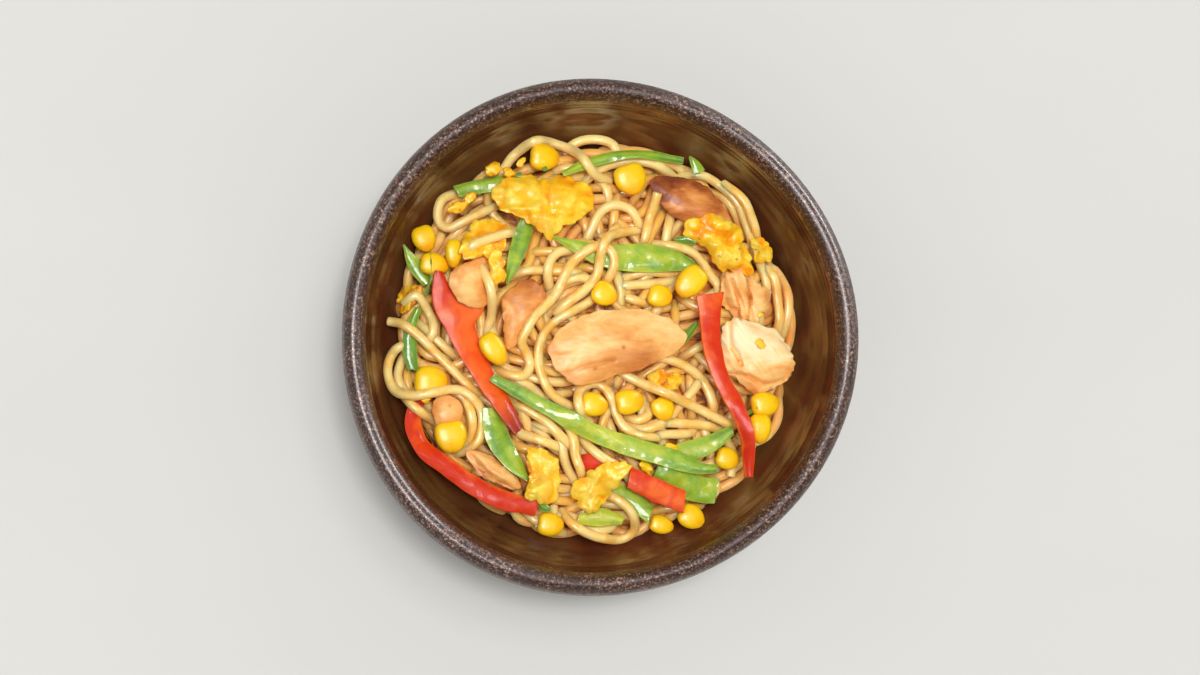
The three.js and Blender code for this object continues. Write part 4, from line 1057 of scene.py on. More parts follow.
class YAKISOBA_OT_noodles(bpy.types.Operator):
    """Fills the heap with noodles and lays the ones on top along their own ways"""

    bl_idname = "yakisoba.noodles"
    bl_label = "Noodles"

    def execute(self, context):
        settings = context.scene.yakisoba_noodles
        heap = Heap(settings.width / MM / 2 * TIGHTNESS)
        chance = np.random.default_rng(settings.seed)
        self.rule, self.finish = noodle_rule(), noodle_finish(settings)
        self.bed(settings)
        filling = self.fill(heap, chance, settings.count)
        beside = self.follow(heap, chance)
        crossing = self.cross(heap)
        self.sweep("noodles_filling", filling, settings, chance, **UNDERNEATH)
        self.sweep("noodles_beside", beside, settings, chance, **UNDERNEATH)
        self.sweep("noodles_on_top", crossing, settings, chance, **ON_TOP, sides=settings.sides)
        LAID["heap"] = heap.floor
        return {"FINISHED"}

    def sweep(self, name, strands, settings, chance, deep_sauce_and_shade, golden, coarse, sides):
        """Makes noodles along the strands, each in a tone of its own."""
        lines = [np.column_stack([points, heights]) for points, heights in strands]
        depth = []
        for x, y, z in (line.T for line in lines):
            # Deep noodles are darkened, partly as sauce and partly as painted shade; the heap's right side
            # gets painted shade alone.
            low = np.clip((mound_top(x, y) + DEEP_FROM - z) / DEEP_SPAN, 0, 1)
            depth.append(deep_sauce_and_shade * low + 0.6 * np.clip((x - SHADED_SIDE) / SHADED_SPAN, 0, 1))
        tones = [np.full(len(line), chance.uniform(0, golden)) for line in lines]
        made = self.rule.make(
            name, line_mesh(name, lines, {"depth": depth, "tone": tones}), Width=settings.width,
            Height=settings.height, Step=settings.step * coarse, Sides=sides, Uneven=0.24, Wave=9 * MM,
            Material=self.finish,
        )
        settle(made, "noodle", "noodles")

    def bed(self, settings):
        """The closed bed that carries the noodles."""
        shares = np.r_[np.linspace(0.02, 1, BED_ROWS[0]), np.linspace(0.985, 0.02, BED_ROWS[1])]
        upper = (np.arange(len(shares)) < BED_ROWS[0])[:, None]
        radius, angles = shares[:, None] * (MOUND["edge"] - 1), circle(BED_SIDES)
        x, y = radius * np.cos(angles), radius * np.sin(angles)
        wall = wall_height(x, y)
        over = np.maximum(bed_top(x, y, radius) + 0.5 * mottle(x, y, 0, 6, 3), wall + 1)
        rings = np.stack([x, y, np.where(upper, over, wall + 0.6)], axis=-1)
        settle(shell("noodles_bed", rings, {}, bed_finish(settings)), "noodle", "noodles")

    def tuck(self, heap, points, cap):
        """Lays the stretches of a noodle that find room under the toppings, with ends that sink."""
        least = heap.least(points, heap.floor)
        most = np.minimum(heap.most(points, heap.ceiling), mound_top(*points.T) + cap)
        edges = np.flatnonzero(np.diff(np.r_[False, least < most + SQUEEZE, False]))
        laid = []
        for start, stop in zip(edges[::2], edges[1::2]):
            run = points[start:stop]
            gone = distances(run)
            if gone[-1] >= SHORTEST:
                heights = draped(least[start:stop], most[start:stop])
                heights = heights - sinking(gone) - sinking(gone[-1] - gone)
                heap.lay(run, heights)
                laid.append((run, heights))
        return laid

    def fill(self, heap, chance, count):
        """Loose bundles of noodles that run side by side for most of their way."""
        strands = []
        for _ in range(count):
            middle = wander(chance, int(chance.integers(*FILL_LENGTHS)))
            for offset in range(int(chance.integers(*BUNDLES))):
                points = shifted(middle, (offset - 1) * SPACING, chance)
                if np.hypot(*points.T).max() < FILL_REACH:
                    strands += self.tuck(heap, points, FILL_CAP)
        return strands

    def follow(self, heap, chance):
        """Noodles beside the ones on top."""
        strands = []
        for _, way in TOP_NOODLES:
            middle = curve_through(way, WAY_STEP)
            for offset in (-2, -1, 1, 2):
                points = shifted(middle, offset * SPACING, chance)
                points = points[np.hypot(*points.T) < BESIDE_REACH]
                if len(points) > 8 and np.diff(distances(points)).max() < 2:
                    strands += self.tuck(heap, points, BESIDE_CAP)
        return strands

    def cross(self, heap):
        """The noodles on top, each over or under the toppings on its way."""
        strands = []
        for over, way in TOP_NOODLES:
            points = curve_through(way, WAY_STEP)
            floor, ceiling = heap.floor.copy(), np.full((SIDE, SIDE), np.inf)
            for node in TOPPINGS:
                if node in over:
                    cover_of(node).lift(floor)
                else:
                    cover_of(node).press(ceiling)
            heights = draped(heap.least(points, floor), heap.most(points, ceiling))
            gone = np.arange(len(points)) * WAY_STEP
            for end, away in ((way[0], gone), (way[-1], gone[::-1])):
                if end not in BARE_ENDS:
                    heights = heights - sinking(away)
            heap.lay(points, heights)
            strands.append((points, heights))
        return strands


# ---------------------------------------------------------------- strips of pepper and pod

# Way in millimetres, widths along it, thickness, how pale the flesh is along it, how askew its two ends are
# cut, how dark its ends are painted as shade, and which edge shows its flesh.
PEPPER_STRIPS = {
    "pepper_bit_front": ([(-6, -37), (1, -37.5), (8, -39)], (4, 5.4, 3), 2, (0.1, 0.1), (0.3, -0.3), (1, 1),
        0),
    "pepper_arc_left": ([(-54, -17), (-56, -25), (-53, -33), (-46, -38.5), (-37.5, -44.5), (-28, -49),
        (-18, -51)], (4, 5.4, 5.4, 5.8, 5.2), 2.4, (0, 0.2, 0.05, 0.15, 0.1, 0.5), (0, 0.15), (0.6, 0.1),
        1),
    "pepper_strip_left": ([(-48.5, 20), (-46.8, 12), (-42.8, 4.5), (-38.6, -4), (-34.1, -12.5),
        (-29.2, -20), (-24.2, -28.2)], (2.6, 7.4, 8.4, 7.2, 6, 5.4, 3.8), 2.2,
        (0.2, 0.55, 0.8, 0.7, 0.65, 0.55, 0.3), (0.4, -0.2), (0.5, 1), 0),
    "pepper_strip_right": ([(33.5, 13.5), (33.5, 5), (34, -2.5), (36.5, -11.5), (40.5, -19.5), (44, -28.5),
        (45, -36), (45.2, -42)], (8.4, 6, 5.4, 5, 4.8, 4.4, 4, 2.6), 2.2, (0.6, 0.2, 0.2, 0.2, 0.1, 0.1),
        (-0.15, 0), (0, 0.4), -1),
    "pepper_strip_front": ([(9, -42), (17.5, -46), (26, -49.5)], (6.4, 6.6, 6.4), 2.4, (0.5, 0.6, 0.7),
        (-0.3, -0.3), (0.1, 0), 0),
}
# The folded corner of a strip: how far along it, at which edge, how far it reaches and over what share of
# the length.
FOLDED_CORNERS = {"pepper_strip_left": (0.275, 1, 5.8, 0.05)}
# Way, widths, how light it is along it, how askew its ends are cut, and how lumpy it is.
POD_STRIPS = {
    "pod_sliver_center": ([(30, 5), (26, 0), (22.5, -4)], (1.6, 3, 2), (0.2, 0.2), (0, 0), 0.1),
    "pod_piece_front": ([(-6, -54.5), (1, -54), (8, -55)], (2.6, 5.6, 2.6), (0.9, 0.9), (0.4, 0.4), 0.1),
    "pod_strip_front_left": ([(-33, -21), (-31, -29), (-27, -36), (-21.5, -43)], (4, 6.8, 6.2, 0.8),
        (0.45, 0.4, 0.3), (0.3, 0), 0.15),
    "pod_end_left": ([(-54.5, 9.5), (-56.5, 3.5), (-57, -3), (-56, -9.5)], (1.8, 3.4, 4.4, 3.6),
        (0.2, -0.1), (0, 0.3), 0.15),
    "pod_tip_left": ([(-59, 28.5), (-56, 23), (-51.5, 16.5)], (0.8, 4.4, 3.4), (0.3, 0.5), (0, 0.3), 0.05),
    "pod_strip_back_left": ([(-43, 45), (-36.5, 46.5), (-28, 48), (-21, 48)], (3.6, 4.6, 4.4, 3),
        (0.5, 0.6), (-0.3, 0), 0.15),
    "pod_strip_middle": ([(-21.5, 37), (-23.5, 30), (-25.5, 24), (-28, 16)], (3.6, 5.4, 4.4, 0.6),
        (0.3, 0.5), (0, 0), 0.2),
    "pod_strip_back": ([(-11, 50), (-3, 53.5), (6, 56), (15, 56.5), (26.5, 55)], (2, 3, 3, 2.6, 2.2),
        (0.7, 0.3, 0.1), (0, 0), 0),
    "pod_leaf_center": ([(-14, 30.5), (-6, 27.5), (3, 25), (15, 24.5), (25, 23.5), (32.5, 20.5)],
        (0.6, 4.6, 7.6, 8.6, 6.4, 0.6), (0.3, 0.6, 0.7, 0.4, 0.3), (0, 0), 0.35),
    "pod_half_right": ([(41, -27.5), (33.5, -32), (25.5, -34.5), (18.5, -36)], (3.2, 5.6, 6, 4),
        (0.3, 0.5, 0.6), (0.3, 0), 0.1),
    "pod_strip_glossy": ([(17, -41), (24, -43.5), (31, -45.5), (36.5, -46)], (5, 8, 8, 7.4),
        (0.3, 0.6, 0.4), (0, 0.1), 0.4),
    "pod_piece_front_right": ([(4, -45.5), (10.5, -48.5), (16, -53.5)], (4.4, 5.6, 4.6), (0.5, 0.4),
        (0.2, -0.4), 0.2),
    "pod_strip_front": ([(-32.5, -12), (-24.5, -16.5), (-14, -22), (-3, -28), (9, -32.5), (21, -36),
        (30, -39), (36, -39.5)], (2.4, 3.8, 4.8, 5.4, 5.8, 6, 5.4, 2), (0.2, 0.2, 0.4, 0.8, 0.9, 0.6, 0.3,
        0.2), (0.2, 0), 0.15),
}
POD_THICK = 1.2
CUT_EDGE = 0.3  # how far the edges of a strip are rounded
THINNEST = 0.04  # what is left of a strip between its rounded edges, at least
TOP_FACES, UNDER_FACES, EDGE_FACES = 12, 6, 3


def cut_section():
    """Places round a strip's section: across and up, from -1 to 1, and sideways and up out of its edge."""
    s, c = (wave(np.linspace(0, math.pi / 2, EDGE_FACES + 1)) for wave in (np.sin, np.cos))
    parts = [
        (np.linspace(-1, 1, TOP_FACES + 1), 1, 0, 1),
        (1, 1, s[1:], c[1:]),
        (1, -1, c, -s),
        (np.linspace(1, -1, UNDER_FACES + 1)[1:], -1, 0, -1),
        (-1, -1, -s[1:], -c[1:]),
        (-1, 1, -c[:-1], s[:-1]),
    ]
    return np.hstack([np.array(np.broadcast_arrays(*part)) for part in parts])[:, None, :]


def strip(name, cover, way, widths, thick, askew, material, relief, corner=None):
    """A flat strip with crisp edges, laid between the top and the underside of a cover."""
    spine = curve_through(way, 0.5)
    gone = distances(spine)
    length = gone[-1]
    rounded = CUT_EDGE * np.array([0, 0.12, 0.4, 1])
    stops = np.sort(np.r_[rounded, gone[1:-1], length - rounded])
    half = np.interp(stops, gone, spread_values(widths, len(gone)))[:, None] / 2
    spine = np.column_stack([np.interp(stops, gone, part) for part in spine.T])
    tangent = np.gradient(spine, stops, axis=0)
    tangent /= np.linalg.norm(tangent, axis=1, keepdims=True)
    share = (stops / length)[:, None]
    across, up, out, over = cut_section()
    from_end = np.clip(np.minimum(stops, length - stops)[:, None] / CUT_EDGE, 0, 1)
    shrink = CUT_EDGE * (1 - np.sqrt(1 - (1 - from_end) ** 2))
    ragged = 0.24 * mottle(spine[:, :1], spine[:, 1:], across, 4.5, 4) * np.abs(across)
    side = across * np.maximum(half - CUT_EDGE - shrink + ragged, THINNEST) + out * CUT_EDGE
    if corner:
        place, edge, reach, wide = corner
        fold = edge * reach * np.exp(-(((share - place) / wide) ** 2))
        side = side + fold * np.clip(across * edge, 0, 1) ** 3
    x, y = along(spine, tangent, side, side * (askew[0] * (1 - share) ** 4 + askew[1] * share**4))
    places = np.array([[-0.7, 0, 0.7]]) * np.maximum(half, 1.2)
    levels = sum(cover.at(*along(spine, tangent, places))) / 2
    level, tilt = levels.mean(1), (levels[:, 2] - levels[:, 0]) / (places[:, 2] - places[:, 0])
    for _ in range(12):
        level[1:-1], tilt[1:-1] = eased(level), eased(tilt)
    raised, values = relief(share, across, x, y)
    lift = up * np.maximum(thick / 2 - CUT_EDGE - shrink, THINNEST) + over * CUT_EDGE
    z = level[:, None] + tilt[:, None] * side + lift + raised * from_end
    values["side"] = np.clip(np.abs(out) * 1.5, 0, 1)
    return shell(name, np.stack([x, y, z], axis=-1), values, material)


def cut(node, slot, *rest):
    """Puts a strip in the place of its solid. Noodles then lie on and under the strip itself."""
    made = strip("cut_" + node, cover_of(node).smooth(4), *rest)
    COVERS[node] = Cover(corners_of(made.data))
    settle(made, slot, node)


def pepper_relief(pale, dark, bare, corner):
    def relief(share, across, x, y):
        run = np.interp(share, np.linspace(0, 1, len(pale)), pale)
        flesh = run * (1 - 0.5 * across**4) + 0.15 * mottle(x, y, 0, 6, 2)
        flesh = flesh + 0.6 * np.clip(across * bare, 0, 1) ** 3
        if corner:
            fold = np.exp(-(((share - corner[0]) / 0.06) ** 2))
            flesh = flesh + fold * np.clip(across * corner[1], 0, 1) ** 2
        raised = 0.25 * mottle(x, y, 0, 6, 5) + 0.1 * mottle(x, y, 0, 2.2, 6) - 0.5 * across**2
        # The ends grow dark: painted shade.
        return raised, {"flesh": flesh, "end": dark[0] * (1 - share) ** 5 + dark[1] * share**5}

    return relief


def pod_relief(light, lumpy):
    def relief(share, across, x, y):
        tone = np.interp(share, np.linspace(0, 1, len(light)), light) + 0.14 * np.cos(across * 4 - 1)
        raised = lumpy * mottle(x, y, 0, 2.8, 5) + 0.08 * mottle(x, y, 0, 1.4, 6) - 0.55 * across**2
        return raised, {"tone": tone}

    return relief


class YAKISOBA_OT_pepper(bpy.types.Operator):
    """Cuts the strips of red pepper"""

    bl_idname = "yakisoba.pepper"
    bl_label = "Red pepper"

    def execute(self, context):
        finish = pepper_finish(context.scene.yakisoba_toppings)
        for node, (way, widths, thick, pale, askew, dark, bare) in PEPPER_STRIPS.items():
            corner = FOLDED_CORNERS.get(node)
            relief = pepper_relief(pale, dark, bare, corner)
            cut(node, "pepper", way, widths, thick, askew, finish, relief, corner)
        return {"FINISHED"}


class YAKISOBA_OT_pods(bpy.types.Operator):
    """Cuts the strips of green pea pod"""

    bl_idname = "yakisoba.pods"
    bl_label = "Pea pods"

    def execute(self, context):
        finish = pod_finish(context.scene.yakisoba_toppings)
        for node, (way, widths, light, askew, lumpy) in POD_STRIPS.items():
            cut(node, "pod", way, widths, POD_THICK, askew, finish, pod_relief(light, lumpy))
        return {"FINISHED"}


# ---------------------------------------------------------------- chicken and egg

# Turn of the fibres in degrees, how browned it is, how much darker it grows at one side, towards which turn,
# how rough and how folded. Then its creases, each a line, its width, its depth and how much painted shade
# darkens it, and its spots, each a middle, its size and how browned it is.
CHICKEN_PIECES = {
    "chicken_slice_center": (6, 0.42, 0.2, -70, 0.15, 0.25, [([(-14.5, -11.5), (-9.5, -10.7), (-5, -9),
        (0, -7.8), (4, -7)], 0.8, 0.7, 0.12), ([(9, -1), (14, -1.6), (20, 0.4)], 0.7, 0.25, 0.05)],
        [((7, -3), 0.6, 0.4), ((-1.5, -9.5), 0.6, 0.3), ((14, -4), 6, 0.14), ((-9, -5), 6, -0.06),
        ((20, 8), 7, -0.1), ((-18, -2), 4.5, 0.14), ((-16, -13), 3, 0.1), ((8, 0), 1.2, 0.12)]),
    "chicken_slice_left": (-60, 0.49, 0.1, -90, 0.15, 0.3, [], [((-42, 16), 6, -0.04), ((-33, 24), 3, 0.12),
        ((-45, 20), 2, 0.06)]),
    "chicken_slice_middle": (50, 0.55, 0.05, 60, 0.15, 0.4, [([(-29, 13), (-25, 9), (-24, 3)], 1.4, 0.35,
        0.05)], [((-21, 16), 4, 0.05)]),
    "chicken_slice_right": (-50, 0.16, 0.34, -95, 0.5, 0.7, [([(38.7, -10.5), (43.8, -10.9), (47.2, -12.2),
        (51, -13.6), (56.6, -12.2)], 0.7, 1.2, 0.16), ([(39.9, 7), (39.9, -0.9), (42.1, -4.5),
        (43.3, -7.9)], 0.6, 1.3, 0.2), ([(40.3, -3.2), (42.5, -6.6)], 0.35, 0.5, 0.5)],
        [((45, -16), 4.5, 0.25), ((57, -9), 4, 0.2), ((38.6, 1), 2.4, -0.25)]),
    "chicken_slice_back": (-25, 0.71, 0.05, 165, 0.15, 0.3, [([(22.5, 49), (22, 45), (19.5, 41)], 0.9, 0.3,
        0.06), ([(30, 47.5), (36, 42.5), (41, 36)], 1.2, 0.4, 0.06)], [((18.5, 46.5), 4, 0.2),
        ((25, 49.5), 3, 0.1), ((30, 42), 4, -0.12)]),
    "chicken_shreds_right": (-70, 0.5, 0.1, 90, 0.4, 2.4, [([(40.5, 18), (42.5, 12), (43, 4)], 0.5, 1,
        0.24), ([(45.5, 18), (46.5, 12), (45.5, 6)], 0.5, 1, 0.24)], [((49.3, 7.1), 1.1, -0.5),
        ((46, 13), 2, 0.1), ((44.5, 2.5), 0.6, 0.35), ((48.5, 12), 1.5, -0.2)]),
    "chicken_cube_left": (20, 0.54, 0.1, -90, 0.15, 0.2, [], [((-45, -20.5), 0.5, 0.3),
        ((-44, -19), 2, 0.08)]),
    "chicken_strip_front": (-35, 0.52, 0.15, -100, 0.4, 1.2, [([(-38, -36), (-32, -42), (-27, -45)], 0.8,
        0.5, 0.08)], [((-36, -41), 3, 0.1)]),
}
# How browned each curd is, how deep and how wide its folds are, and its spots: a middle, its size and how
# pale it is.
EGG_PIECES = {
    "egg_curd_back": (0, 1.3, 7.4, [((-14, 37), 6, 0.4), ((-28, 39), 4, 0.3), ((-14, 46), 5, -0.3),
        ((-22, 43), 4, -0.1), ((-4, 41), 4, -0.1)]),
    "egg_curd_left": (0.3, 1.1, 6, [((-38, 32), 4, -0.1)]),
    "egg_fringe_left": (0.4, 0.9, 5, [((-31, 24), 3, 0.2)]),
    "egg_curd_right": (0.4, 1.2, 5.4, [((43, 23.5), 4, 0.35), ((45.5, 19), 2.5, -0.6), ((22, 34), 4, 0),
        ((34, 32), 4, -0.1)]),
    "egg_curd_front": (0.1, 1.4, 5.6, [((-15, -42), 9, 0.32), ((-15, -40), 4, 0.2), ((-17, -35), 3, -0.2)]),
    "egg_fold_front": (0.2, 1.5, 6, [((1, -44), 9, 0.32), ((1, -42), 4, -0.3), ((-3, -47), 4, 0.2)]),
    "egg_bit_left": (1, 1.2, 4, []), "egg_bit_right": (0.4, 0.9, 4, []), "egg_bit_center": (0.6, 1, 4, []),
}


def of_turn(degrees):
    """The cosine and the sine of a turn."""
    return math.cos(math.radians(degrees)), math.sin(math.radians(degrees))


def spot_share(x, y, middle, size):
    return np.exp(-((x - middle[0]) ** 2 + (y - middle[1]) ** 2) / size**2)


def crease_share(x, y, line, width):
    """How much of a crease along a line there is at each place, from 0 to 1."""
    away = np.min([(x - a) ** 2 + (y - b) ** 2 for a, b in curve_through(line, 0.8)], axis=0)
    return np.exp(-away / width**2)


def lump(name, node, material, relief, ruffle, soften, corners, around, rows):
    """A soft piece with the outline, top and underside of its solid, and relief of its own."""
    cover = cover_of(node).smooth(soften)
    middle, angles = cover.middle(), circle(around)
    reach = round_off(cover.reach(middle, angles), corners)
    upper, lower = (1 - (1 - np.linspace(0.03, 1, count)) ** 1.5 for count in (rows, 14))
    share = np.r_[upper, lower[-2::-1]][:, None]
    side = np.where(np.arange(len(share)) < rows, 1, -1)[:, None]
    rim = np.sqrt(np.clip(1 - share**9, 0, 1)) * side

    def spot(radius):
        return middle[0] + radius * np.cos(angles)[None, :], middle[1] + radius * np.sin(angles)[None, :]

    edge = ruffle(*spot(reach), rim)
    x, y = spot(share * (reach + edge * share**2))
    top, under = cover.at(*spot(np.minimum(share, 0.94) * reach))
    raised, values = relief(x, y, rim)
    z = (top + under) / 2 + rim * ((top - under) / 2) + raised * np.clip(rim, 0, 1)
    return shell(name, np.stack([x, y, z], axis=-1), values, material)


class YAKISOBA_OT_chicken(bpy.types.Operator):
    """Slices the chicken"""

    bl_idname = "yakisoba.chicken"
    bl_label = "Chicken"

    def execute(self, context):
        settings = context.scene.yakisoba_toppings
        for number, (node, piece) in enumerate(CHICKEN_PIECES.items()):
            turn, brown, more, towards, rough, folded, creases, spots = piece
            finish = chicken_finish("chicken_" + str(number + 1), settings, -math.radians(turn))
            low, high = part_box(node)
            centre, span = (low + high) / 2 / MM, (high - low).length / 2 / MM
            (c, s), (tx, ty) = of_turn(turn), of_turn(towards)

            def relief(x, y, rim):
                ahead, over = c * x + s * y, c * y - s * x
                fibres = 0.7 * mottle(ahead, over, 0, (11, 1.5, 1), number)
                fibres += 0.3 * mottle(ahead, over, 0, (6, 0.7, 1), number + 9)
                swell = 0.6 * mottle(ahead, over, 0, (14, 6, 1), number + 5)
                bend = over + 0.9 * mottle(ahead, over, 0, 7, number + 6)
                folds = puffs(ahead / 2.4, bend, 3.4, number)
                value = brown + more * (((x - centre.x) * tx + (y - centre.y) * ty) / span)
                # Darker in the valleys between the folds: painted shade.
                value = value + 0.1 * (1 - np.clip(rim, 0, 1)) + 0.03 * fibres + 0.12 * folded * (0.6 - folds)
                height = rough * fibres + swell + folded * (folds - 0.7)
                # Each crease is darkened as painted shade.
                for line, width, depth, dark in creases:
                    share = crease_share(x, y, line, width)
                    height -= depth * share
                    value += dark * share
                for middle, size, dark in spots:
                    value += dark * spot_share(x, y, middle, size)
                return height, {"brown": value}

            def ruffle(x, y, rim):
                fine = 0.6 * mottle(x, y, rim, (1.2, 1.2, 0.5), number + 3)
                return (max(rough, 0.3) + 0.6 * folded) * (mottle(x, y, rim, (3, 3, 0.7), number) + fine)

            settle(lump("cooked_" + node, node, finish, relief, ruffle, 5, 7, 200, 44), "chicken", node)
        return {"FINISHED"}


class YAKISOBA_OT_egg(bpy.types.Operator):
    """Scrambles the egg"""

    bl_idname = "yakisoba.egg"
    bl_label = "Egg"

    def execute(self, context):
        finish = egg_finish(context.scene.yakisoba_toppings)
        for number, (node, (toast, depth, size, spots)) in enumerate(EGG_PIECES.items()):
            def relief(x, y, rim):
                wx, wy = (part + 1.6 * mottle(x, y, 0, 5, number + k) for part, k in ((x, 20), (y, 30)))
                folds = sum(
                    share * puffs(wx, wy, size / finer, number + k)
                    for share, finer, k in ((0.7, 1, 0), (0.22, 2, 7), (0.08, 4, 11))
                )
                # The crest value paints light on the puffs and shade in the valleys between them.
                crest_light_and_tone = 1.4 * folds - 0.5
                for middle, wide, pale in spots:
                    crest_light_and_tone = crest_light_and_tone + pale * spot_share(x, y, middle, wide)
                return depth * (2.4 * folds - 1.4), {"crest_light_and_tone": crest_light_and_tone, "toast": toast}

            def ruffle(x, y, rim):
                broad = 2.2 * (puffs(x, y, 4.6, number + 40) - 0.75)
                fine = 0.3 * mottle(x, y, rim, (1.2, 1.2, 0.6), number)
                return broad + 1.1 * (puffs(x, y, 2.1, number + 41) - 0.75) + fine

            settle(lump("scrambled_" + node, node, finish, relief, ruffle, 2, 10, 220, 46), "egg", node)
        return {"FINISHED"}


# ---------------------------------------------------------------- corn

KERNEL = {"length": 9.3, "width": 8.1, "thick": 5.6, "bluntness": 0.78, "taper": 0.28, "dimple": 0.12}
TIPPED = {"corn_05": 10}  # how far a kernel's end is tipped, in degrees
# Turn in degrees, size and slimness of each kernel.
KERNELS = {
    "corn_01": (20, 0.9, 1), "corn_02": (80, 1, 0.85), "corn_03": (0, 1, 0.65), "corn_04": (90, 1.15, 1),
    "corn_05": (85, 1, 1), "corn_06": (60, 0.9, 1), "corn_07": (75, 0.85, 1), "corn_08": (35, 1.2, 0.72),
    "corn_09": (20, 1.08, 1.12), "corn_10": (100, 0.95, 1), "corn_11": (0, 1, 0.85),
    "corn_12": (10, 1.08, 1.12), "corn_13": (80, 0.92, 1), "corn_14": (100, 0.95, 1),
    "corn_15": (30, 0.85, 1), "corn_16": (70, 0.84, 1), "corn_17": (-42, 1.2, 0.85),
    "corn_18": (80, 0.9, 1), "corn_19": (75, 0.84, 0.8), "corn_20": (60, 0.9, 1),
}


def blunt(values):
    return np.sign(values) * np.abs(values) ** KERNEL["bluntness"]


def turned(points, degrees, axis):
    return points @ np.array(Matrix.Rotation(math.radians(degrees), 3, axis).transposed())


class YAKISOBA_OT_corn(bpy.types.Operator):
    """Grows the kernels of corn"""

    bl_idname = "yakisoba.corn"
    bl_label = "Sweet corn"

    def execute(self, context):
        finish = corn_finish(context.scene.yakisoba_toppings)
        x, y, z = ball(30, 40, 0.02)
        taper = 1 - KERNEL["taper"] * np.maximum(0, -y)
        dimple = 1 - KERNEL["dimple"] * np.maximum(0, y) * (1 - np.abs(x))
        root = np.clip(0.5 - 0.5 * y, 0, 1) ** 1.5
        for number, (node, (turn, size, slim)) in enumerate(KERNELS.items()):
            lumpy = 1 + 0.045 * mottle(x, y, z, 0.9, number)
            local = np.stack([
                blunt(x) * taper * KERNEL["width"] / 2 * slim * size * lumpy,
                blunt(y) * dimple * KERNEL["length"] / 2 * size * lumpy,
                blunt(z) * taper * KERNEL["thick"] / 2 * size * lumpy,
            ], axis=-1)
            rings = turned(turned(local, TIPPED.get(node, 0), "X"), turn, "Z")
            low, high = (np.array(corner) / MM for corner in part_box(node))
            rings = rings + (low + high) / 2 - (rings.min((0, 1)) + rings.max((0, 1))) / 2
            settle(shell("kernel_" + node, rings, {"root": root}, finish), "corn", node)
        return {"FINISHED"}


# ---------------------------------------------------------------- what is strewn between the pieces

# Way, widths, and how light a thin green piece is.
GREENS = {
    "green_stem": ([(-50.9, 25.9), (-50.7, 20.3), (-50.9, 17.8), (-52.6, 12.6)], (0.8, 0.9, 0.8), 0.1),
    "green_tip_back": ([(28, 56), (29.6, 53.8), (31.2, 51)], (0.7, 2.6, 3.4), 0.3),
    "green_leaf_back": ([(23.3, 30.6), (26.5, 30.2), (29.7, 29.2)], (1.6, 2.4, 1), -0.3),
    "green_sliver_right": ([(45, -22.9), (46.4, -21.9), (47.8, -21)], (0.8, 1.3, 0.6), 0.3),
    "green_bit_front": ([(-18, -50.2), (-16.3, -51.2), (-14.4, -51.8)], (1, 2.2, 1.2), -0.3),
    "green_fleck_back": ([(-25.4, 49.6), (-23.4, 50)], (1.2, 1.6), -0.3),
    "green_fleck_top": ([(-17, 51.5), (-15.6, 52)], (1, 1.3), -0.2),
}
# Middle, size, turn in degrees and kind of each crumb.
CRUMBS = {
    "egg_crumb_loop": ((-43, 39.8), (6, 3.6, 2.4), 20, "egg"),
    "egg_crumb_loop_back": ((-39, 42.5), (4, 3, 2), 40, "egg"),
    "egg_crumb_back": ((-32, 51.5), (5, 4, 2.6), 30, "egg"),
    "egg_crumb_back_right": ((-27.5, 50.5), (3.6, 3, 2.2), 0, "egg"),
    "egg_crumb_arch": ((-23.5, 53.5), (3, 2, 1.6), 60, "egg"),
    "egg_crumb_left": ((-52.3, -18.6), (2.8, 2.2, 1.6), 0, "egg"),
    "egg_crumb_chicken": ((48.9, -1.5), (3.4, 2.6, 0.6), -20, "egg"),
    "egg_crumb_shreds": ((49.4, 7.6), (2, 1.6, 0.8), 0, "egg"),
    "corn_bit_front": ((14.5, -38.9), (4.6, 3, 2.4), -30, "corn"),
    "corn_bit_right": ((22, -32.7), (4, 2.2, 2), -20, "corn"),
}
GREEN_THICK = 0.7
# How far from the axis small bits may lie, how low at least, and how thick what carries them counts.
GROUND = {"edge": 64, "least": 45, "rise": 1}


class Ground(Cover):
    """All that has been laid, as the cover of a small piece that lies on it."""

    def __init__(self):
        heap = np.maximum(blur(LAID["heap"], 1), GROUND["least"])
        laid = np.where(np.hypot(EAST, NORTH) < GROUND["edge"], heap, 0)
        for node in TOPPINGS:
            cover_of(node).lift(laid)
        self.x, self.y = EAST, NORTH
        self.soft = [laid + GROUND["rise"], laid]


class YAKISOBA_OT_garnish(bpy.types.Operator):
    """Strews thin greens and crumbs of egg and corn over the noodles"""

    bl_idname = "yakisoba.garnish"
    bl_label = "Small bits"

    def execute(self, context):
        settings, ground = context.scene.yakisoba_toppings, Ground()
        finish = pod_finish(settings)
        for name, (way, widths, light) in GREENS.items():
            relief = pod_relief((light, light), 0.05)
            settle(strip(name, ground, way, widths, GREEN_THICK, (0, 0), finish, relief), "pod")
        finishes = {"egg": egg_finish(settings), "corn": corn_finish(settings)}
        x, y, z = ball(18, 28, 0.06)
        # The crumbs are paler on their tops: painted light.
        values = {"crest_light_and_tone": 0.2 + 0.4 * z, "toast": 0.5, "root": 0.4}
        for number, (name, (middle, size, turn, kind)) in enumerate(CRUMBS.items()):
            lumpy = 1 + 0.4 * mottle(x, y, z, 0.7, number) + 0.22 * mottle(x, y, z, 0.3, number)
            c, s = of_turn(turn)
            a, b = y * size[0] / 2 * lumpy, x * size[1] / 2 * lumpy
            height = ground.at(*np.array(middle))[0] + z * size[2] / 2 * lumpy
            rings = np.stack([middle[0] + c * a - s * b, middle[1] + s * a + c * b, height], axis=-1)
            settle(shell(name, rings, values, finishes[kind]), kind)
        return {"FINISHED"}


# ---------------------------------------------------------------- floor, light and camera

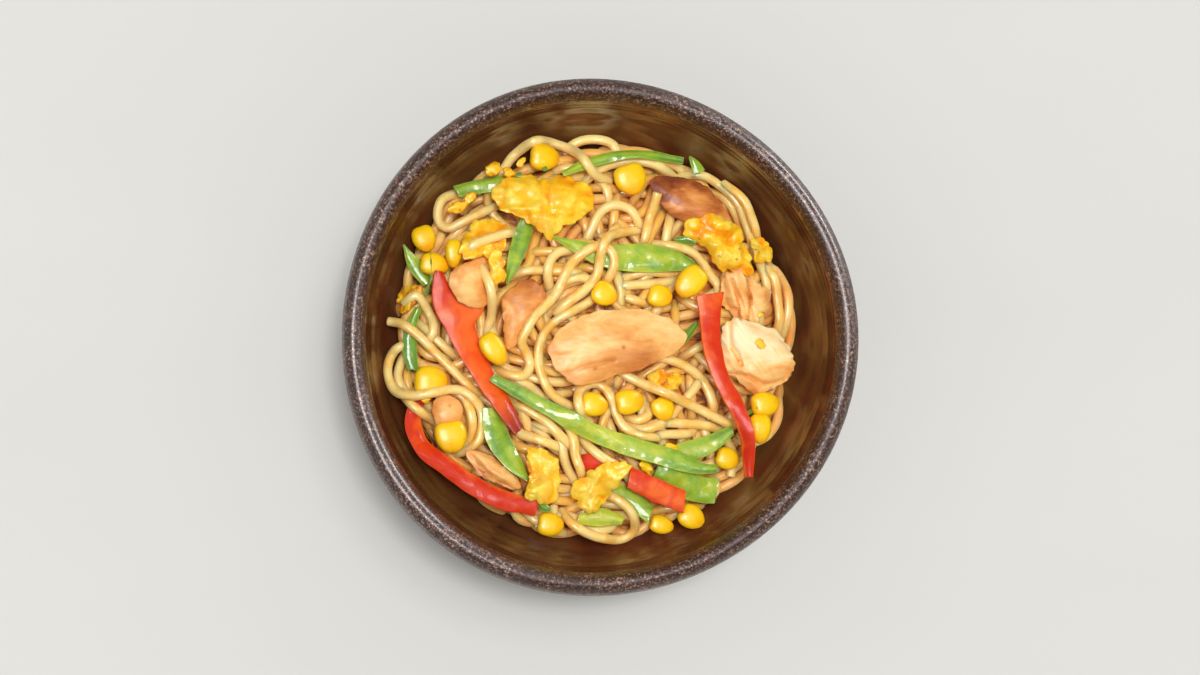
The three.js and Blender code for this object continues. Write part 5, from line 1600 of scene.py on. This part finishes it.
FOOD = Vector((0, 0, 52 * MM))  # what the camera and the panels face
CAMERA_SIDE = Vector((-0.78, -0.62))
SENSOR_WIDTH = 36
FLOOR_HALF = 3
SKY = {"Color": (1, 0.99, 0.97, 1), "Strength": 0.55}
# The side that each sun shines from, how soft it is in degrees, and its strength.
SUNS = {"overhead": ((0.03, 0.04, 1), 10, 1.5), "key": ((0.15, 0.15, 1), 16, 0.65)}
# Place and size of each panel in metres, and its power.
PANELS = {
    "panel_above": ((0.34, -0.2, 1.1), (0.3, 0.3), 2.6),
    "panel_left": ((-0.5, -0.12, 1), (0.75, 0.75), 62),
    "panel_right": ((0.85, 0.6, 0.25), (0.5, 0.4), 30),
}


def lamp(name, kind, power, ahead, **settings):
    """A light that shines one way."""
    data = bpy.data.lights.new(name, kind)
    data.energy = power
    for key, value in settings.items():
        setattr(data, key, value)
    made = new_object(name, data)
    made.rotation_euler = ahead.to_track_quat("-Z", "Y").to_euler()
    return made


class YAKISOBA_OT_stage(bpy.types.Operator):
    """Sets the floor, the studio light and the camera"""

    bl_idname = "yakisoba.stage"
    bl_label = "Stage"

    def execute(self, context):
        scene, settings = context.scene, context.scene.yakisoba_stage
        scene.view_settings.view_transform = "Standard"
        mesh = bpy.data.meshes.new("floor")
        corners = [(FLOOR_HALF * x, FLOOR_HALF * y, 0) for x, y in ((-1, -1), (1, -1), (1, 1), (-1, 1))]
        mesh.from_pydata(corners, [], [(0, 1, 2, 3)])
        mesh.materials.append(floor_finish(settings))
        new_object("floor", mesh)
        self.light()
        world = bpy.data.worlds.new("studio")
        world.use_nodes = True
        for key, value in SKY.items():
            world.node_tree.nodes["Background"].inputs[key].default_value = value
        scene.world = world
        scene.camera = self.camera(settings)
        return {"FINISHED"}

    def light(self):
        """Suns that give even light without gloss, and panels that give gloss alone."""
        for name, (place, softness, strength) in SUNS.items():
            sun = lamp(name, "SUN", strength, -Vector(place), angle=math.radians(softness))
            sun.visible_glossy = False
        for name, (place, (width, height), power) in PANELS.items():
            panel = lamp(
                name, "AREA", power, FOOD - Vector(place), shape="RECTANGLE", size=width, size_y=height,
            )
            panel.location = place
            panel.visible_diffuse = False
            panel.visible_camera = False

    def camera(self, settings):
        data = bpy.data.cameras.new("camera")
        data.lens = settings.lens
        data.sensor_width = SENSOR_WIDTH
        data.clip_start = 0.01
        made = new_object("camera", data)
        lean = CAMERA_SIDE.normalized() * math.sin(settings.tilt)
        made.location = FOOD + settings.distance * Vector((*lean, math.cos(settings.tilt)))
        ahead = (FOOD - made.location).normalized()
        right = ahead.cross(Vector((0, 1, 0))).normalized()
        made.rotation_euler = Matrix((right, right.cross(ahead), -ahead)).transposed().to_euler()
        return made


# ---------------------------------------------------------------- the add-on


class YAKISOBA_PT_panel(bpy.types.Panel):
    """Lists the steps that dress the bowl of yakisoba"""

    bl_idname = "YAKISOBA_PT_panel"
    bl_label = "Yakisoba"
    bl_space_type = "VIEW_3D"
    bl_region_type = "UI"
    bl_category = "Yakisoba"

    def draw(self, context):
        for key, _, operators in SECTIONS:
            box = self.layout.box()
            settings = getattr(context.scene, key)
            for name in settings.__annotations__:
                box.prop(settings, name)
            for operator in operators:
                box.operator(operator.bl_idname)


TOPPING_OPERATORS = [
    YAKISOBA_OT_pepper, YAKISOBA_OT_pods, YAKISOBA_OT_chicken, YAKISOBA_OT_egg, YAKISOBA_OT_corn,
    YAKISOBA_OT_garnish,
]
SECTIONS = [
    ("yakisoba_bowl", BowlSettings, [YAKISOBA_OT_bowl]),
    ("yakisoba_noodles", NoodleSettings, [YAKISOBA_OT_noodles]),
    ("yakisoba_toppings", ToppingSettings, TOPPING_OPERATORS),
    ("yakisoba_stage", StageSettings, [YAKISOBA_OT_stage]),
]


def register():
    for key, group, operators in SECTIONS:
        for made in (group, *operators):
            bpy.utils.register_class(made)
        setattr(bpy.types.Scene, key, PointerProperty(type=group))
    bpy.utils.register_class(YAKISOBA_PT_panel)


def unregister():
    bpy.utils.unregister_class(YAKISOBA_PT_panel)
    for key, group, operators in reversed(SECTIONS):
        delattr(bpy.types.Scene, key)
        for made in (*reversed(operators), group):
            bpy.utils.unregister_class(made)


def main():
    register()
    bpy.ops.yakisoba.bowl()
    bpy.ops.yakisoba.pepper()
    bpy.ops.yakisoba.pods()
    bpy.ops.yakisoba.noodles()
    bpy.ops.yakisoba.chicken()
    bpy.ops.yakisoba.egg()
    bpy.ops.yakisoba.corn()
    bpy.ops.yakisoba.garnish()
    bpy.ops.yakisoba.stage()


if __name__ == "__main__":
    main()
